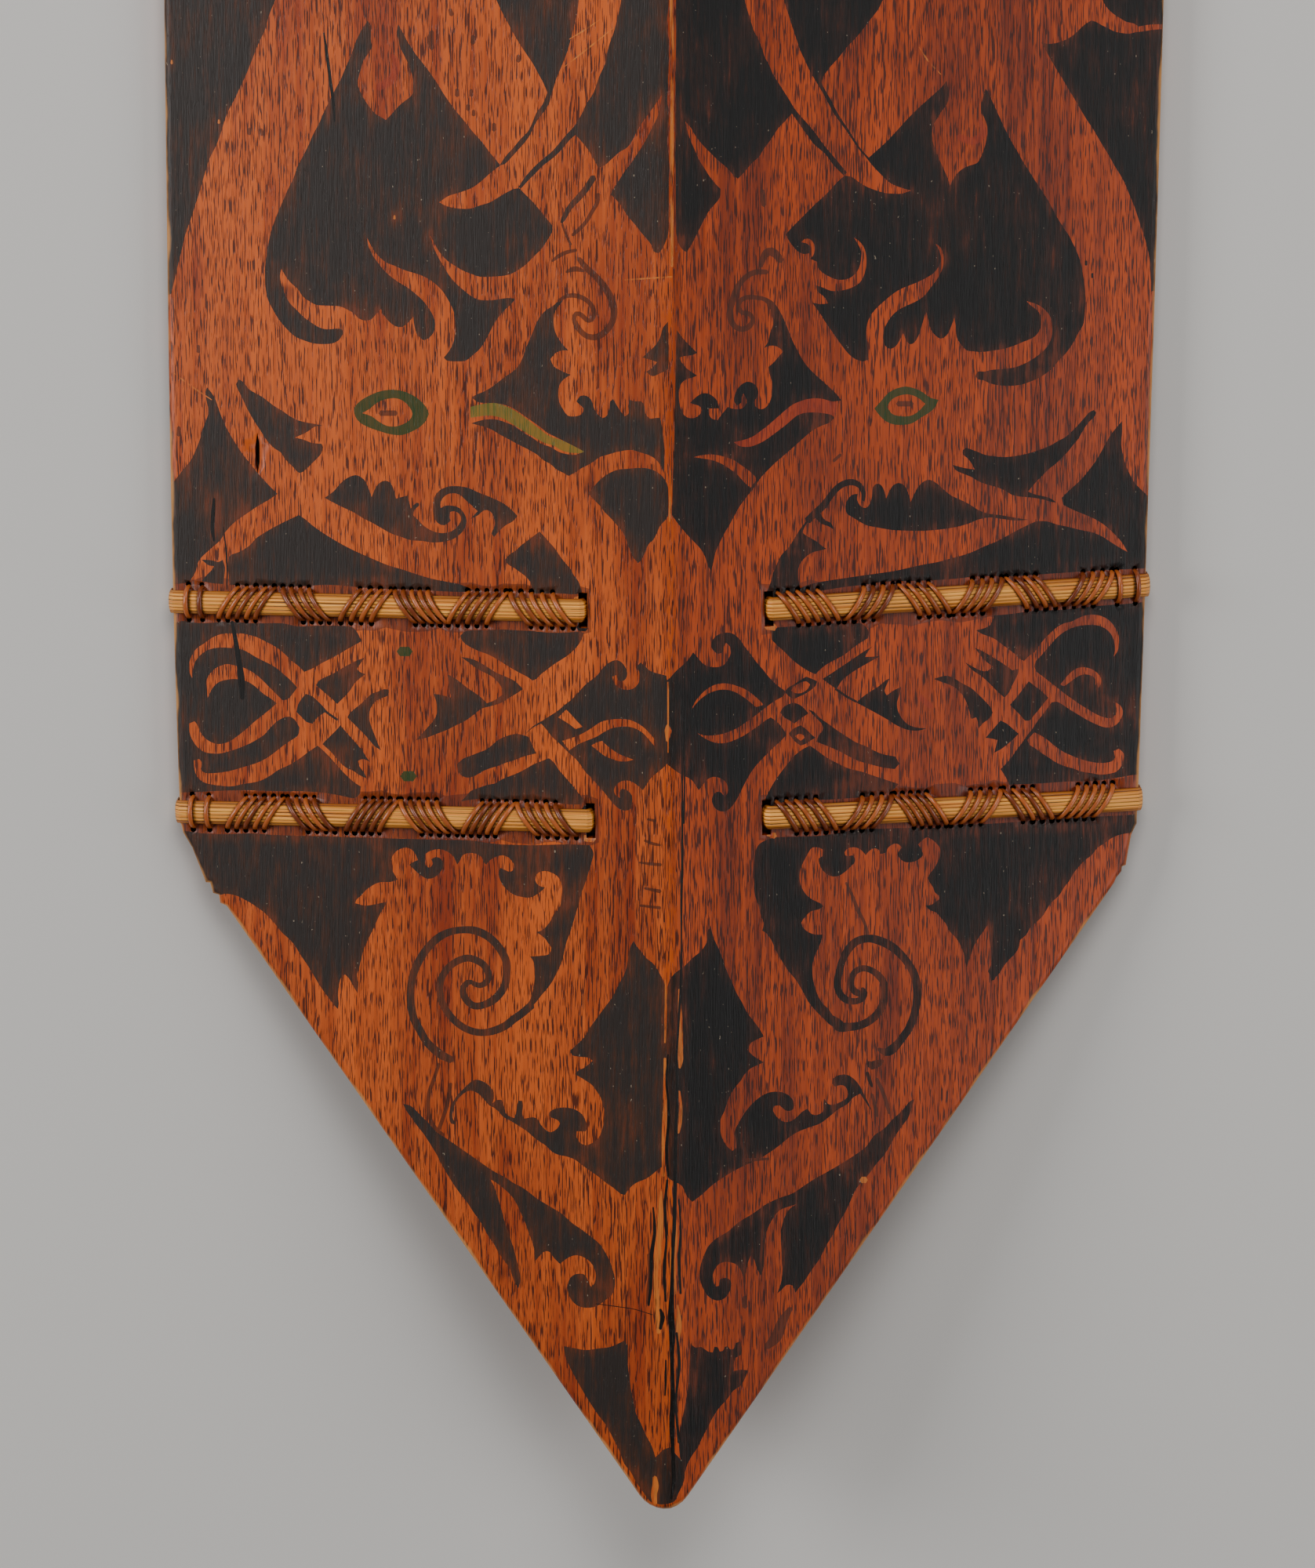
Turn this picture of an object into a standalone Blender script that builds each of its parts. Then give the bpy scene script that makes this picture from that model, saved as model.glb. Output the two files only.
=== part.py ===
"""A Bornean war shield lying on its back, front face up.

One board, carved from a single plank with its grip, has two flat wings that slope down from a
lengthwise ridge. Eight bands of split cane fold round its side edges, and a strand of split
rattan lashes each band to the board. Lengths are in metres, X across, Y along, Z up.
"""

import math

import bmesh
import bpy
from mathutils import Matrix, Vector

# Plan of the board
LENGTH = 1.2532
HALF_WIDTH_MIDDLE_LEFT = 0.1897
HALF_WIDTH_MIDDLE_RIGHT = 0.1907
HALF_WIDTH_SHOULDER_LEFT = 0.1868
HALF_WIDTH_SHOULDER_RIGHT = 0.1831
SIDE_BOW_LEFT = 4.0
SIDE_BOW_RIGHT = 1.2
SHOULDER_Y = 0.3705
TIP_RADIUS = 0.0113
TIP_ARC_STEPS = 6

# Section of the board: the wings' front faces, their back faces and the ridge between them
RIDGE_X = 0.0027
RISE = 0.0549
EDGE_THICKNESS = 0.0080
RIDGE_THICKNESS = 0.0130
CREST_RADIUS = 0.0060
GUTTER_RADIUS = 0.0300
FILLET_STEPS = 4

# Chips out of the lower shoulders: (in from the side edge, on past the shoulder)
LEFT_CHIPS = (
    (0.0000, -0.0025), (0.0010, 0.0012), (0.0045, 0.0069), (0.0078, 0.0153), (0.0097, 0.0202),
    (0.0114, 0.0203), (0.0125, 0.0243), (0.0148, 0.0248), (0.0153, 0.0280), (0.0178, 0.0290),
)
RIGHT_CHIPS = (
    (0.0000, -0.0080), (0.0001, -0.0027), (0.0022, 0.0016), (0.0034, 0.0081), (0.0042, 0.0134),
    (0.0057, 0.0140), (0.0059, 0.0158), (0.0079, 0.0181), (0.0088, 0.0201), (0.0104, 0.0225),
)

# A split that runs right through the left wing: (X, Y) of its middle, its length and width
SPLIT_X = -0.1552
SPLIT_Y = -0.2235
SPLIT_LENGTH = 0.0160
SPLIT_WIDTH = 0.0017

# The grip, left standing behind the ridge when the hollow was cut
GRIP_LENGTH = 0.2000
GRIP_GAP_LENGTH = 0.1250
GRIP_WIDTH = 0.0300
GRIP_END_WIDTH = 0.0440
GRIP_THICKNESS = 0.0240
GRIP_FLOOR_CLEARANCE = 0.0030
GRIP_ROOT_SINK = 0.0050
GRIP_EDGE_BEVEL = 0.0040
GRIP_CORNER = 0.0090

# Cane bands: half-round split cane, flat side to the board
CLEARANCE = 0.0003
RIM_CLEARANCE = 0.0006
CANE_WIDTH = 0.0090
CANE_FRONT_THICKNESS = 0.0032
CANE_RIM_THICKNESS = 0.0014
CANE_BACK_THICKNESS = 0.0022
CANE_LEG_THICKNESS = 0.0026
CANE_LEG_DEPTH = 0.0036
CANE_SLOT_LENGTH = 0.0135
CANE_SLOT_MARGIN = 0.0006

# Each band: its name, the side it is on, its Y at the side edge and at its slot, and the
# slot's distance from the ridge
BANDS = (
    ("lower_left_inboard", -1, -0.2816, -0.2798, 0.0321),
    ("lower_right_inboard", 1, -0.2751, -0.2794, 0.0360),
    ("lower_left_outboard", -1, -0.3633, -0.3600, 0.0293),
    ("lower_right_outboard", 1, -0.3582, -0.3591, 0.0353),
    ("upper_left_inboard", -1, 0.2790, 0.2800, 0.0321),
    ("upper_right_inboard", 1, 0.2790, 0.2800, 0.0360),
    ("upper_left_outboard", -1, 0.3600, 0.3600, 0.0293),
    ("upper_right_outboard", 1, 0.3600, 0.3600, 0.0353),
)

# Lashings: each wrap group is one broad turn of the strand
STRAND_THICKNESS = 0.0012
WRAP_COUNT = 7
WRAP_WIDTH = 0.0085
FIRST_WRAP_WIDTH = 0.0058
FIRST_WRAP_INSET = 0.0100
LAST_WRAP_INSET = 0.0190
WRAP_SLANT = 0.0055

# Shares of a cane's half width and of its thickness, round its crowned outer side
CANE_CROWN = ((-1.0, 0.0), (-1.0, 0.40), (-0.62, 0.85), (0.0, 1.0), (0.62, 0.85), (1.0, 0.40), (1.0, 0.0))


def clear_scene():
    """Removes what the scene holds."""
    for old in list(bpy.data.objects):
        bpy.data.objects.remove(old)


def make_collection(name, hidden):
    """Adds a collection to the scene; a hidden one is left out of renders."""
    collection = bpy.data.collections.new(name)
    collection.hide_render = hidden
    bpy.context.scene.collection.children.link(collection)
    return collection


def make_material(name, colour, roughness):
    """A plain Principled material."""
    material = bpy.data.materials.new(name)
    material.use_nodes = True
    shader = material.node_tree.nodes["Principled BSDF"]
    shader.inputs["Base Color"].default_value = (*colour, 1.0)
    shader.inputs["Roughness"].default_value = roughness
    shader.inputs["Metallic"].default_value = 0.0
    return material


def add_object(name, mesh, collection, material=None):
    """Puts a mesh in a collection as a named object."""
    obj = bpy.data.objects.new(name, mesh)
    collection.objects.link(obj)
    if material:
        mesh.materials.clear()
        mesh.materials.append(material)
    return obj


def make_cutter(obj):
    """Marks an object as a helper that renders leave out."""
    obj.hide_render = True
    obj.display_type = "WIRE"
    return obj


def extruded(name, outline, half_depth, collection):
    """A flat outline in its own XY plane, extruded both ways along its Z, as a closed mesh."""
    curve = bpy.data.curves.new(name, "CURVE")
    curve.dimensions = "2D"
    curve.fill_mode = "BOTH"
    curve.extrude = half_depth
    spline = curve.splines.new("POLY")
    spline.points.add(len(outline) - 1)
    for point, (x, y) in zip(spline.points, outline):
        point.co = (x, y, 0.0, 1.0)
    spline.use_cyclic_u = True
    shape = bpy.data.objects.new(name, curve)
    collection.objects.link(shape)
    bpy.context.view_layer.update()
    graph = bpy.context.evaluated_depsgraph_get()
    mesh = bpy.data.meshes.new_from_object(shape.evaluated_get(graph))
    bpy.data.objects.remove(shape)
    bpy.data.curves.remove(curve)
    shell = bmesh.new()
    shell.from_mesh(mesh)
    bmesh.ops.remove_doubles(shell, verts=shell.verts, dist=1e-6)
    bmesh.ops.recalc_face_normals(shell, faces=shell.faces)
    shell.to_mesh(mesh)
    shell.free()
    return add_object(name, mesh, collection)


def lofted(name, sections, collection, material):
    """A closed solid through rings of points that each have the same count."""
    shell = bmesh.new()
    rings = [[shell.verts.new(point) for point in section] for section in sections]
    count = len(rings[0])
    for near, far in zip(rings, rings[1:]):
        for i in range(count):
            j = (i + 1) % count
            shell.faces.new((near[i], near[j], far[j], far[i]))
    shell.faces.new(rings[0][::-1])
    shell.faces.new(rings[-1])
    bmesh.ops.recalc_face_normals(shell, faces=shell.faces)
    mesh = bpy.data.meshes.new(name)
    shell.to_mesh(mesh)
    shell.free()
    return add_object(name, mesh, collection, material)


def add_boolean(obj, operation, other):
    """Cuts, joins or trims one object by another."""
    modifier = obj.modifiers.new(f"{operation.lower()}_{other.name}", "BOOLEAN")
    modifier.operation = operation
    modifier.object = other
    modifier.solver = "EXACT"


def middle_half_width(side):
    """Half width at the middle of the board's length on one side."""
    return HALF_WIDTH_MIDDLE_LEFT if side < 0 else HALF_WIDTH_MIDDLE_RIGHT


def shoulder_half_width(side):
    """Half width at the shoulder on one side."""
    return HALF_WIDTH_SHOULDER_LEFT if side < 0 else HALF_WIDTH_SHOULDER_RIGHT


def half_width(side, y):
    """Half width on one side at Y: a slight bow from the middle to the shoulder."""
    share = min(abs(y) / SHOULDER_Y, 1.0)
    bow = SIDE_BOW_LEFT if side < 0 else SIDE_BOW_RIGHT
    return middle_half_width(side) + (shoulder_half_width(side) - middle_half_width(side)) * share**bow


def edge_reach(side, y):
    """The farthest that one side's edge reaches out within the width of a cane at Y."""
    return max(half_width(side, y - CANE_WIDTH / 2), half_width(side, y + CANE_WIDTH / 2))


def wing_span(side):
    """Distance from the ridge to the widest part of the side edge."""
    return middle_half_width(side) - side * RIDGE_X


def front_slope(side):
    """Fall of a wing's front face for each metre out from the ridge."""
    return RISE / wing_span(side)


def back_slope(side):
    """Fall of a wing's back face for each metre out from the ridge."""
    return (RISE - RIDGE_THICKNESS + EDGE_THICKNESS) / wing_span(side)


def wing_angle(side):
    """Tilt of a wing's front face."""
    return math.atan(front_slope(side))


def edge_depth(side, y):
    """Upright thickness of the board at the side edge where a band crosses it at Y."""
    out = abs(side * edge_reach(side, y) - RIDGE_X)
    return RIDGE_THICKNESS + (back_slope(side) - front_slope(side)) * out


def rim_corner(side, y):
    """The rim's back edge, straight below its front edge, as (in, up) along a wing's front face."""
    angle = wing_angle(side)
    return -edge_depth(side, y) * math.sin(angle), -edge_depth(side, y) * math.cos(angle)


def fold_bottom(side, y):
    """The lowest point of a cane's fold as (in, up) from the rim's front edge."""
    corner_in, corner_up = rim_corner(side, y)
    return corner_in + 0.2 * CANE_RIM_THICKNESS, corner_up - RIM_CLEARANCE - CANE_RIM_THICKNESS


def rim_front_height():
    """Height of the rim's front edge at the middle, with the lowest cane fold resting on Z = 0."""
    drops = []
    for _, side, edge_y, _, _ in BANDS:
        angle = wing_angle(side)
        inwards, up = fold_bottom(side, edge_y)
        rise = front_slope(side) * (middle_half_width(side) - edge_reach(side, edge_y))
        drops.append(rise + inwards * math.sin(angle) + up * math.cos(angle))
    return -min(drops)


def front_height(x):
    """Height of the sharp front profile at X."""
    side = -1 if x < RIDGE_X else 1
    return rim_front_height() + RISE - front_slope(side) * abs(x - RIDGE_X)


def back_height(x):
    """Height of the sharp back profile at X."""
    side = -1 if x < RIDGE_X else 1
    return rim_front_height() + RISE - RIDGE_THICKNESS - back_slope(side) * abs(x - RIDGE_X)


def fillet(apex_height, slopes, radius):
    """An arc that rounds the roof-shaped corner at the ridge, left to right."""
    left, right = math.atan(slopes[0]), math.atan(slopes[1])
    tangent = radius * math.tan((left + right) / 2)
    start = Vector((RIDGE_X - tangent * math.cos(left), apex_height - tangent * math.sin(left)))
    centre = start + radius * Vector((math.sin(left), -math.cos(left)))
    points = []
    for i in range(FILLET_STEPS + 1):
        turn = -left + (left + right) * i / FILLET_STEPS
        points.append(tuple(centre + radius * Vector((math.sin(turn), math.cos(turn)))))
    return points


def section_outline():
    """The roof-shaped section, as (X, Z): front face left to right, then the back face."""
    reach = HALF_WIDTH_MIDDLE_RIGHT + 5 * EDGE_THICKNESS
    crest = front_height(RIDGE_X)
    gutter = back_height(RIDGE_X)
    front_slopes = (front_slope(-1), front_slope(1))
    back_slopes = (back_slope(-1), back_slope(1))
    top = [(-reach, front_height(-reach)), *fillet(crest, front_slopes, CREST_RADIUS)]
    top.append((reach, front_height(reach)))
    under = [(-reach, back_height(-reach)), *fillet(gutter, back_slopes, GUTTER_RADIUS)]
    under.append((reach, back_height(reach)))
    return top + under[::-1]


def tip_arc(end):
    """The rounded tip at one end (-1 lower, 1 upper), from the left side to the right."""
    mean_shoulder = (HALF_WIDTH_SHOULDER_LEFT + HALF_WIDTH_SHOULDER_RIGHT) / 2
    centre_y = LENGTH / 2 - TIP_RADIUS
    run = centre_y - SHOULDER_Y
    lean = math.atan2(mean_shoulder, run)
    distance = math.hypot(mean_shoulder, run)
    half_turn = math.pi / 2 - lean + math.asin(TIP_RADIUS / distance)
    points = []
    for i in range(TIP_ARC_STEPS + 1):
        turn = -half_turn + 2 * half_turn * i / TIP_ARC_STEPS
        points.append((TIP_RADIUS * math.sin(turn), end * (centre_y + TIP_RADIUS * math.cos(turn))))
    return points


def lower_shoulder(side, chips):
    """One chipped lower shoulder, from the side edge to the slope of the point."""
    return [(side * (shoulder_half_width(side) - inset), -SHOULDER_Y - past) for inset, past in chips]


def side_edge(side):
    """The bowed edge of one side, from the lower shoulder to the upper one."""
    steps = 12
    rows = [SHOULDER_Y * (2 * i / steps - 1) for i in range(1, steps + 1)]
    return [(side * half_width(side, y), y) for y in rows]


def plan_outline():
    """The six-sided plan, counter-clockwise from the lower tip."""
    right = lower_shoulder(1, RIGHT_CHIPS)[::-1] + side_edge(1)
    left = side_edge(-1)[::-1] + lower_shoulder(-1, LEFT_CHIPS)
    return tip_arc(-1) + right + tip_arc(1)[::-1] + left


def rounded(corners, radius, steps=3):
    """A polygon with each corner cut to a short arc; a corner's own radius may replace the shared one."""
    points = []
    count = len(corners)
    for i, corner in enumerate(corners):
        here = Vector(corner)
        back = Vector(corners[i - 1]) - here
        ahead = Vector(corners[(i + 1) % count]) - here
        reach = min(radius, back.length * 0.45, ahead.length * 0.45)
        start = here + back.normalized() * reach
        end = here + ahead.normalized() * reach
        for k in range(steps + 1):
            share = k / steps
            points.append(tuple(start.lerp(here, share).lerp(here.lerp(end, share), share)))
    return points


def build_grip(cutters):
    """The grip: a bar on two legs, its side profile trimmed by its plan."""
    under = GRIP_FLOOR_CLEARANCE
    over = under + GRIP_THICKNESS
    root = back_height(RIDGE_X) + GRIP_ROOT_SINK
    half_gap, half_length = GRIP_GAP_LENGTH / 2, GRIP_LENGTH / 2
    lean = (half_length - half_gap) * 0.6
    side = [
        (-half_length, root), (-half_length, root - GRIP_ROOT_SINK * 2), (-half_length + lean, under),
        (half_length - lean, under), (half_length, root - GRIP_ROOT_SINK * 2), (half_length, root),
        (half_gap, root), (half_gap, over), (-half_gap, over), (-half_gap, root),
    ]
    keep_sharp = {0, 5, 6, 9}
    profile = []
    for i, corner in enumerate(side):
        if i in keep_sharp:
            profile.append(corner)
        else:
            nearby = [side[i - 1], corner, side[(i + 1) % len(side)]]
            profile += rounded(nearby, GRIP_CORNER)[4:8]
    bar = extruded("grip", profile, GRIP_END_WIDTH, cutters)
    bar.data.transform(Matrix(((0, 0, 1, 0), (1, 0, 0, 0), (0, 1, 0, 0), (0, 0, 0, 1))))
    bar.location = (RIDGE_X, 0.0, 0.0)
    waist, flare = GRIP_WIDTH / 2, GRIP_END_WIDTH / 2
    rows = 12
    right = []
    for i in range(rows + 1):
        y = half_length * 1.02 * (2 * i / rows - 1)
        right.append((waist + (flare - waist) * abs(y / half_length) ** 3, y))
    plan = right + [(-x, y) for x, y in right[::-1]]
    trim = make_cutter(extruded("grip_plan", plan, root, cutters))
    trim.location = (RIDGE_X, 0.0, root / 2)
    add_boolean(bar, "INTERSECT", trim)
    edges = bar.modifiers.new("eased_edges", "BEVEL")
    edges.width = GRIP_EDGE_BEVEL
    edges.segments = 2
    edges.limit_method = "ANGLE"
    edges.angle_limit = math.radians(50)
    return make_cutter(bar)


class BandFrame:
    """One cane band's own axes: s in from the side edge, t across the band, h up from the front face."""

    def __init__(self, side, edge_y, slot_y, slot_from_ridge):
        angle = wing_angle(side)
        self.side = side
        self.edge_y = edge_y
        edge_x = side * edge_reach(side, edge_y)
        slot_x = RIDGE_X + side * slot_from_ridge
        self.origin = Vector((edge_x, edge_y, front_height(edge_x)))
        slot = Vector((slot_x, slot_y, front_height(slot_x)))
        self.along = (slot - self.origin).normalized()
        self.up = Vector((side * math.sin(angle), 0.0, math.cos(angle)))
        self.across = self.up.cross(self.along)
        self.length = (slot - self.origin).length
        # The back face draws away from the front one towards the ridge.
        self.spread = math.tan(angle - math.atan(back_slope(side)))

    def back(self, s):
        """Height of the board's back face under s."""
        corner_in, corner_up = rim_corner(self.side, self.edge_y)
        return corner_up - self.spread * (s - corner_in)

    def point(self, s, t, h):
        """The world place of a point given in this frame."""
        return self.origin + self.along * s + self.across * t + self.up * h

    def matrix(self, s, t, h):
        """The frame's axes at a point, for placing a box."""
        turn = Matrix((self.along, self.across, self.up)).transposed()
        return Matrix.Translation(self.point(s, t, h)) @ turn.to_4x4()


def slot_wall(frame):
    """How far in the outer wall of a band's slot stands."""
    return frame.length - CANE_LEG_THICKNESS - CLEARANCE


def cane_stations(frame):
    """(flat side, crowned side) of the cane as (s, h) pairs, from the front of its slot to the back."""
    gap, rim_gap = CLEARANCE, RIM_CLEARANCE
    wall = slot_wall(frame) + gap
    leg, front, rim, back = CANE_LEG_THICKNESS, CANE_FRONT_THICKNESS, CANE_RIM_THICKNESS, CANE_BACK_THICKNESS
    corner_in, corner_up = rim_corner(frame.side, frame.edge_y)
    under = frame.back(wall) - gap
    taper = 4 * front
    return [
        ((wall, -CANE_LEG_DEPTH), (wall + leg, -CANE_LEG_DEPTH)),
        ((wall, 0.0), (wall + leg, gap + 0.45 * front)),
        ((wall - gap, gap), (wall + 0.4 * leg, gap + front)),
        ((wall - 2 * front, gap), (wall - 2 * front, gap + front)),
        ((taper, gap), (taper, gap + front)),
        ((0.5 * rim, gap), (0.4 * rim, gap + 1.3 * rim)),
        ((-rim_gap, 0.0), (-rim_gap - rim, -0.3 * rim)),
        ((corner_in - rim_gap, corner_up), (corner_in - rim_gap - rim, corner_up - 0.2 * rim)),
        ((corner_in + 0.5 * rim, frame.back(0.0) - rim_gap), fold_bottom(frame.side, frame.edge_y)),
        ((taper, frame.back(taper) - gap), (taper, frame.back(taper) - gap - back)),
        ((wall - 2 * front, frame.back(wall - 2 * front) - gap), (wall - 2 * front, under - back)),
        ((wall - gap, under), (wall + 0.4 * leg, under - back)),
        ((wall, under + gap), (wall + leg, under - 0.45 * back)),
        ((wall, under + CANE_LEG_DEPTH), (wall + leg, under + CANE_LEG_DEPTH)),
    ]


def build_cane(name, frame, collection, material):
    """A split cane that folds round the side edge, with both ends tucked into the slot."""
    sections = []
    for flat, crown in cane_stations(frame):
        flat, crown = Vector(flat), Vector(crown)
        ring = []
        for across, share in CANE_CROWN:
            s, h = flat.lerp(crown, share)
            ring.append(frame.point(s, across * CANE_WIDTH / 2, h))
        sections.append(ring)
    return lofted(name, sections, collection, material)


def wrap_centres(frame):
    """(middle, width, slant) of each broad turn, from the side edge inwards."""
    pitch = (frame.length - FIRST_WRAP_INSET - LAST_WRAP_INSET) / (WRAP_COUNT - 1)
    found = []
    for i in range(WRAP_COUNT):
        width = FIRST_WRAP_WIDTH if i == 0 else WRAP_WIDTH
        slant = WRAP_SLANT * (1 if i % 2 else -1)
        found.append((FIRST_WRAP_INSET + i * pitch, width, slant))
    return found


def strand_profile():
    """(t, h) pairs of the strand's inner and outer sides over the front cane, low side to high."""
    inside = CANE_WIDTH / 2 + CLEARANCE
    outside = inside + STRAND_THICKNESS
    top = CANE_FRONT_THICKNESS + 2 * CLEARANCE
    rows = [
        ((-inside, 0.52 * top), (-outside, 0.55 * top)),
        ((-0.64 * inside, 0.93 * top), (-0.78 * inside, 0.93 * top + STRAND_THICKNESS)),
        ((0.0, top + CLEARANCE), (0.0, top + CLEARANCE + STRAND_THICKNESS)),
    ]
    mirrored = [((-a[0], a[1]), (-b[0], b[1])) for a, b in rows[1::-1]]
    return rows + mirrored


def back_profile():
    """(t, depth under the back face) pairs of the strand's two sides behind the board, high side to low."""
    inside = CANE_WIDTH / 2 + CLEARANCE
    outside = inside + STRAND_THICKNESS
    under = CANE_BACK_THICKNESS + CLEARANCE
    return [
        ((inside, 0.88 * under), (outside, 0.88 * under + 0.6 * STRAND_THICKNESS)),
        ((0.0, under + CLEARANCE), (0.0, under + CLEARANCE + STRAND_THICKNESS)),
        ((-inside, 0.88 * under), (-outside, 0.88 * under + 0.6 * STRAND_THICKNESS)),
    ]


def strand_ring(frame, s, width, inner, outer, behind):
    """The four corners of the strand at one place; behind the board, heights hang from its back face."""
    corners = ((s - width / 2, inner), (s + width / 2, inner), (s + width / 2, outer), (s - width / 2, outer))
    return [frame.point(at, t, frame.back(at) - h if behind else h) for at, (t, h) in corners]


def build_lashing(name, frame, collection, material):
    """One strand that wraps its band in alternating slants and passes through the board between turns."""
    wraps = wrap_centres(frame)
    front = strand_profile()
    behind = back_profile()
    inside = CANE_WIDTH / 2 + CLEARANCE
    outside = inside + STRAND_THICKNESS
    first, first_width, first_slant = wraps[0]
    start = first - first_slant / 2
    halfway = frame.back(start) / 2
    sections = [strand_ring(frame, start, first_width, (-inside, halfway), (-outside, halfway), False)]
    for i, (middle, width, slant) in enumerate(wraps):
        for k, (inner, outer) in enumerate(front):
            s = middle + slant * (k / (len(front) - 1) - 0.5)
            sections.append(strand_ring(frame, s, width, inner, outer, False))
        if i + 1 == len(wraps):
            break
        next_middle, next_width, next_slant = wraps[i + 1]
        leave, arrive = middle + slant / 2, next_middle - next_slant / 2
        for k, (inner, outer) in enumerate(behind):
            share = k / (len(behind) - 1)
            s = leave + (arrive - leave) * share
            turn_width = width + (next_width - width) * share
            sections.append(strand_ring(frame, s, turn_width, inner, outer, True))
    last, last_width, last_slant = wraps[-1]
    end = last + last_slant / 2
    halfway = frame.back(end) / 2
    sections.append(strand_ring(frame, end, last_width, (inside, halfway), (outside, halfway), False))
    return lofted(name, sections, collection, material)


def slot_boxes(frame):
    """(s, t, length, width) of the openings that one band and its lashing need in the board."""
    wall = slot_wall(frame)
    cane_slot = CANE_LEG_THICKNESS + CLEARANCE + CANE_SLOT_MARGIN
    boxes = [(wall + cane_slot / 2, 0.0, cane_slot, CANE_SLOT_LENGTH)]
    across = CANE_WIDTH / 2 + CLEARANCE + STRAND_THICKNESS / 2
    for middle, width, slant in wrap_centres(frame):
        for end in (-1, 1):
            s = middle + end * slant / 2
            boxes.append((s, end * across, width + 2 * CLEARANCE, STRAND_THICKNESS + 2 * CLEARANCE))
    return boxes


def build_slots(frames, cutters):
    """One cutter for the slots of every band."""
    depth = 4 * RIDGE_THICKNESS
    tool = bmesh.new()
    for frame in frames:
        for s, t, length, width in slot_boxes(frame):
            place = frame.matrix(s, t, 0.0) @ Matrix.Diagonal((length, width, depth, 1.0))
            bmesh.ops.create_cube(tool, size=1.0, matrix=place)
    mesh = bpy.data.meshes.new("binding_slots")
    tool.to_mesh(mesh)
    tool.free()
    return make_cutter(add_object("binding_slots", mesh, cutters))


def build_split(cutters):
    """A narrow leaf-shaped cutter for the split through the left wing."""
    half = SPLIT_WIDTH / 2
    leaf = [(0.0, -SPLIT_LENGTH / 2), (half, -0.2 * SPLIT_LENGTH), (half, 0.2 * SPLIT_LENGTH)]
    leaf += [(0.0, SPLIT_LENGTH / 2), (-half, 0.15 * SPLIT_LENGTH), (-half, -0.25 * SPLIT_LENGTH)]
    cutter = extruded("split", leaf, 4 * EDGE_THICKNESS, cutters)
    cutter.location = (SPLIT_X, SPLIT_Y, front_height(SPLIT_X))
    return make_cutter(cutter)


def build_board(frames, collection, cutters, material):
    """The board with its grip: the plan trimmed to the roof-shaped section, then slotted."""
    height = front_height(RIDGE_X)
    board = extruded("board_and_grip", plan_outline(), height, collection)
    board.data.materials.append(material)
    board.location = (0.0, 0.0, height / 2)
    section = extruded("roof_section", section_outline(), LENGTH, cutters)
    section.rotation_euler = (math.pi / 2, 0.0, 0.0)
    add_boolean(board, "INTERSECT", make_cutter(section))
    add_boolean(board, "UNION", build_grip(cutters))
    add_boolean(board, "DIFFERENCE", build_slots(frames, cutters))
    add_boolean(board, "DIFFERENCE", build_split(cutters))
    return board


def main():
    """Builds the shield."""
    clear_scene()
    parts = make_collection("shield", False)
    cutters = make_collection("cutters", True)
    wood = make_material("stained_wood", (0.32, 0.085, 0.025), 0.45)
    cane = make_material("split_cane", (0.60, 0.27, 0.06), 0.40)
    rattan = make_material("lashing_rattan", (0.34, 0.11, 0.03), 0.35)
    frames = [BandFrame(*band[1:]) for band in BANDS]
    build_board(frames, parts, cutters, wood)
    for band, frame in zip(BANDS, frames):
        build_cane(f"cane_{band[0]}", frame, parts, cane)
        build_lashing(f"lashing_{band[0]}", frame, parts, rattan)


main()
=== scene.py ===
"""The looks of a painted wooden war shield with cane bands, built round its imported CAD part.

The board is one closed mesh whose front is cut along the outlines of its painting, so that each
brush edge is crisp. The canes and the strands that lash them down are swept over the CAD part's
own band axes. Lengths are in metres, X across, Y along, Z up.
"""

import logging
import math
from dataclasses import dataclass
from enum import Enum

import bpy
import numpy as np
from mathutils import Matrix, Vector
from mathutils.geometry import delaunay_2d_cdt

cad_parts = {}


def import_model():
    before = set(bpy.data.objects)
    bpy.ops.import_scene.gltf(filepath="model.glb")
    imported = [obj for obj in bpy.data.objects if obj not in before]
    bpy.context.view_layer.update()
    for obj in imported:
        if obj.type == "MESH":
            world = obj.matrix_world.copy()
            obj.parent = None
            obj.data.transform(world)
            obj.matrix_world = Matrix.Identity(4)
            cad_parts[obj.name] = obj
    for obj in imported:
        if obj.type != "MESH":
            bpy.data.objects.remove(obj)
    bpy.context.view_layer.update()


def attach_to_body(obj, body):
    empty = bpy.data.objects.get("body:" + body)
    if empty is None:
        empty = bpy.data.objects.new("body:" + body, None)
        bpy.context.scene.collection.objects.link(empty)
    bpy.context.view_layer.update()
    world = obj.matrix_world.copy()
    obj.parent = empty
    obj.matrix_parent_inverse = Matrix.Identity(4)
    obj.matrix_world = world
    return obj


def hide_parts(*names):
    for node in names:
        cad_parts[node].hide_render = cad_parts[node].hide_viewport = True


LOG = logging.getLogger("shield")
MM = 0.001


class Side(Enum):
    """A wing of the board, seen from the front."""

    LEFT = -1
    RIGHT = 1


class Pigment(Enum):
    """What covers a patch of the board's front."""

    WOOD = "wood"
    BLACK = "black"
    WASH = "wash"
    GREEN = "green"
    OLIVE = "olive"
    RED = "red"
    # Cracks, and the painted shade inside the lashing holes.
    CRACK_AND_HOLE_SHADE = "crack_and_hole_shade"
    BARE = "bare"
    GRIME = "grime"


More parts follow.
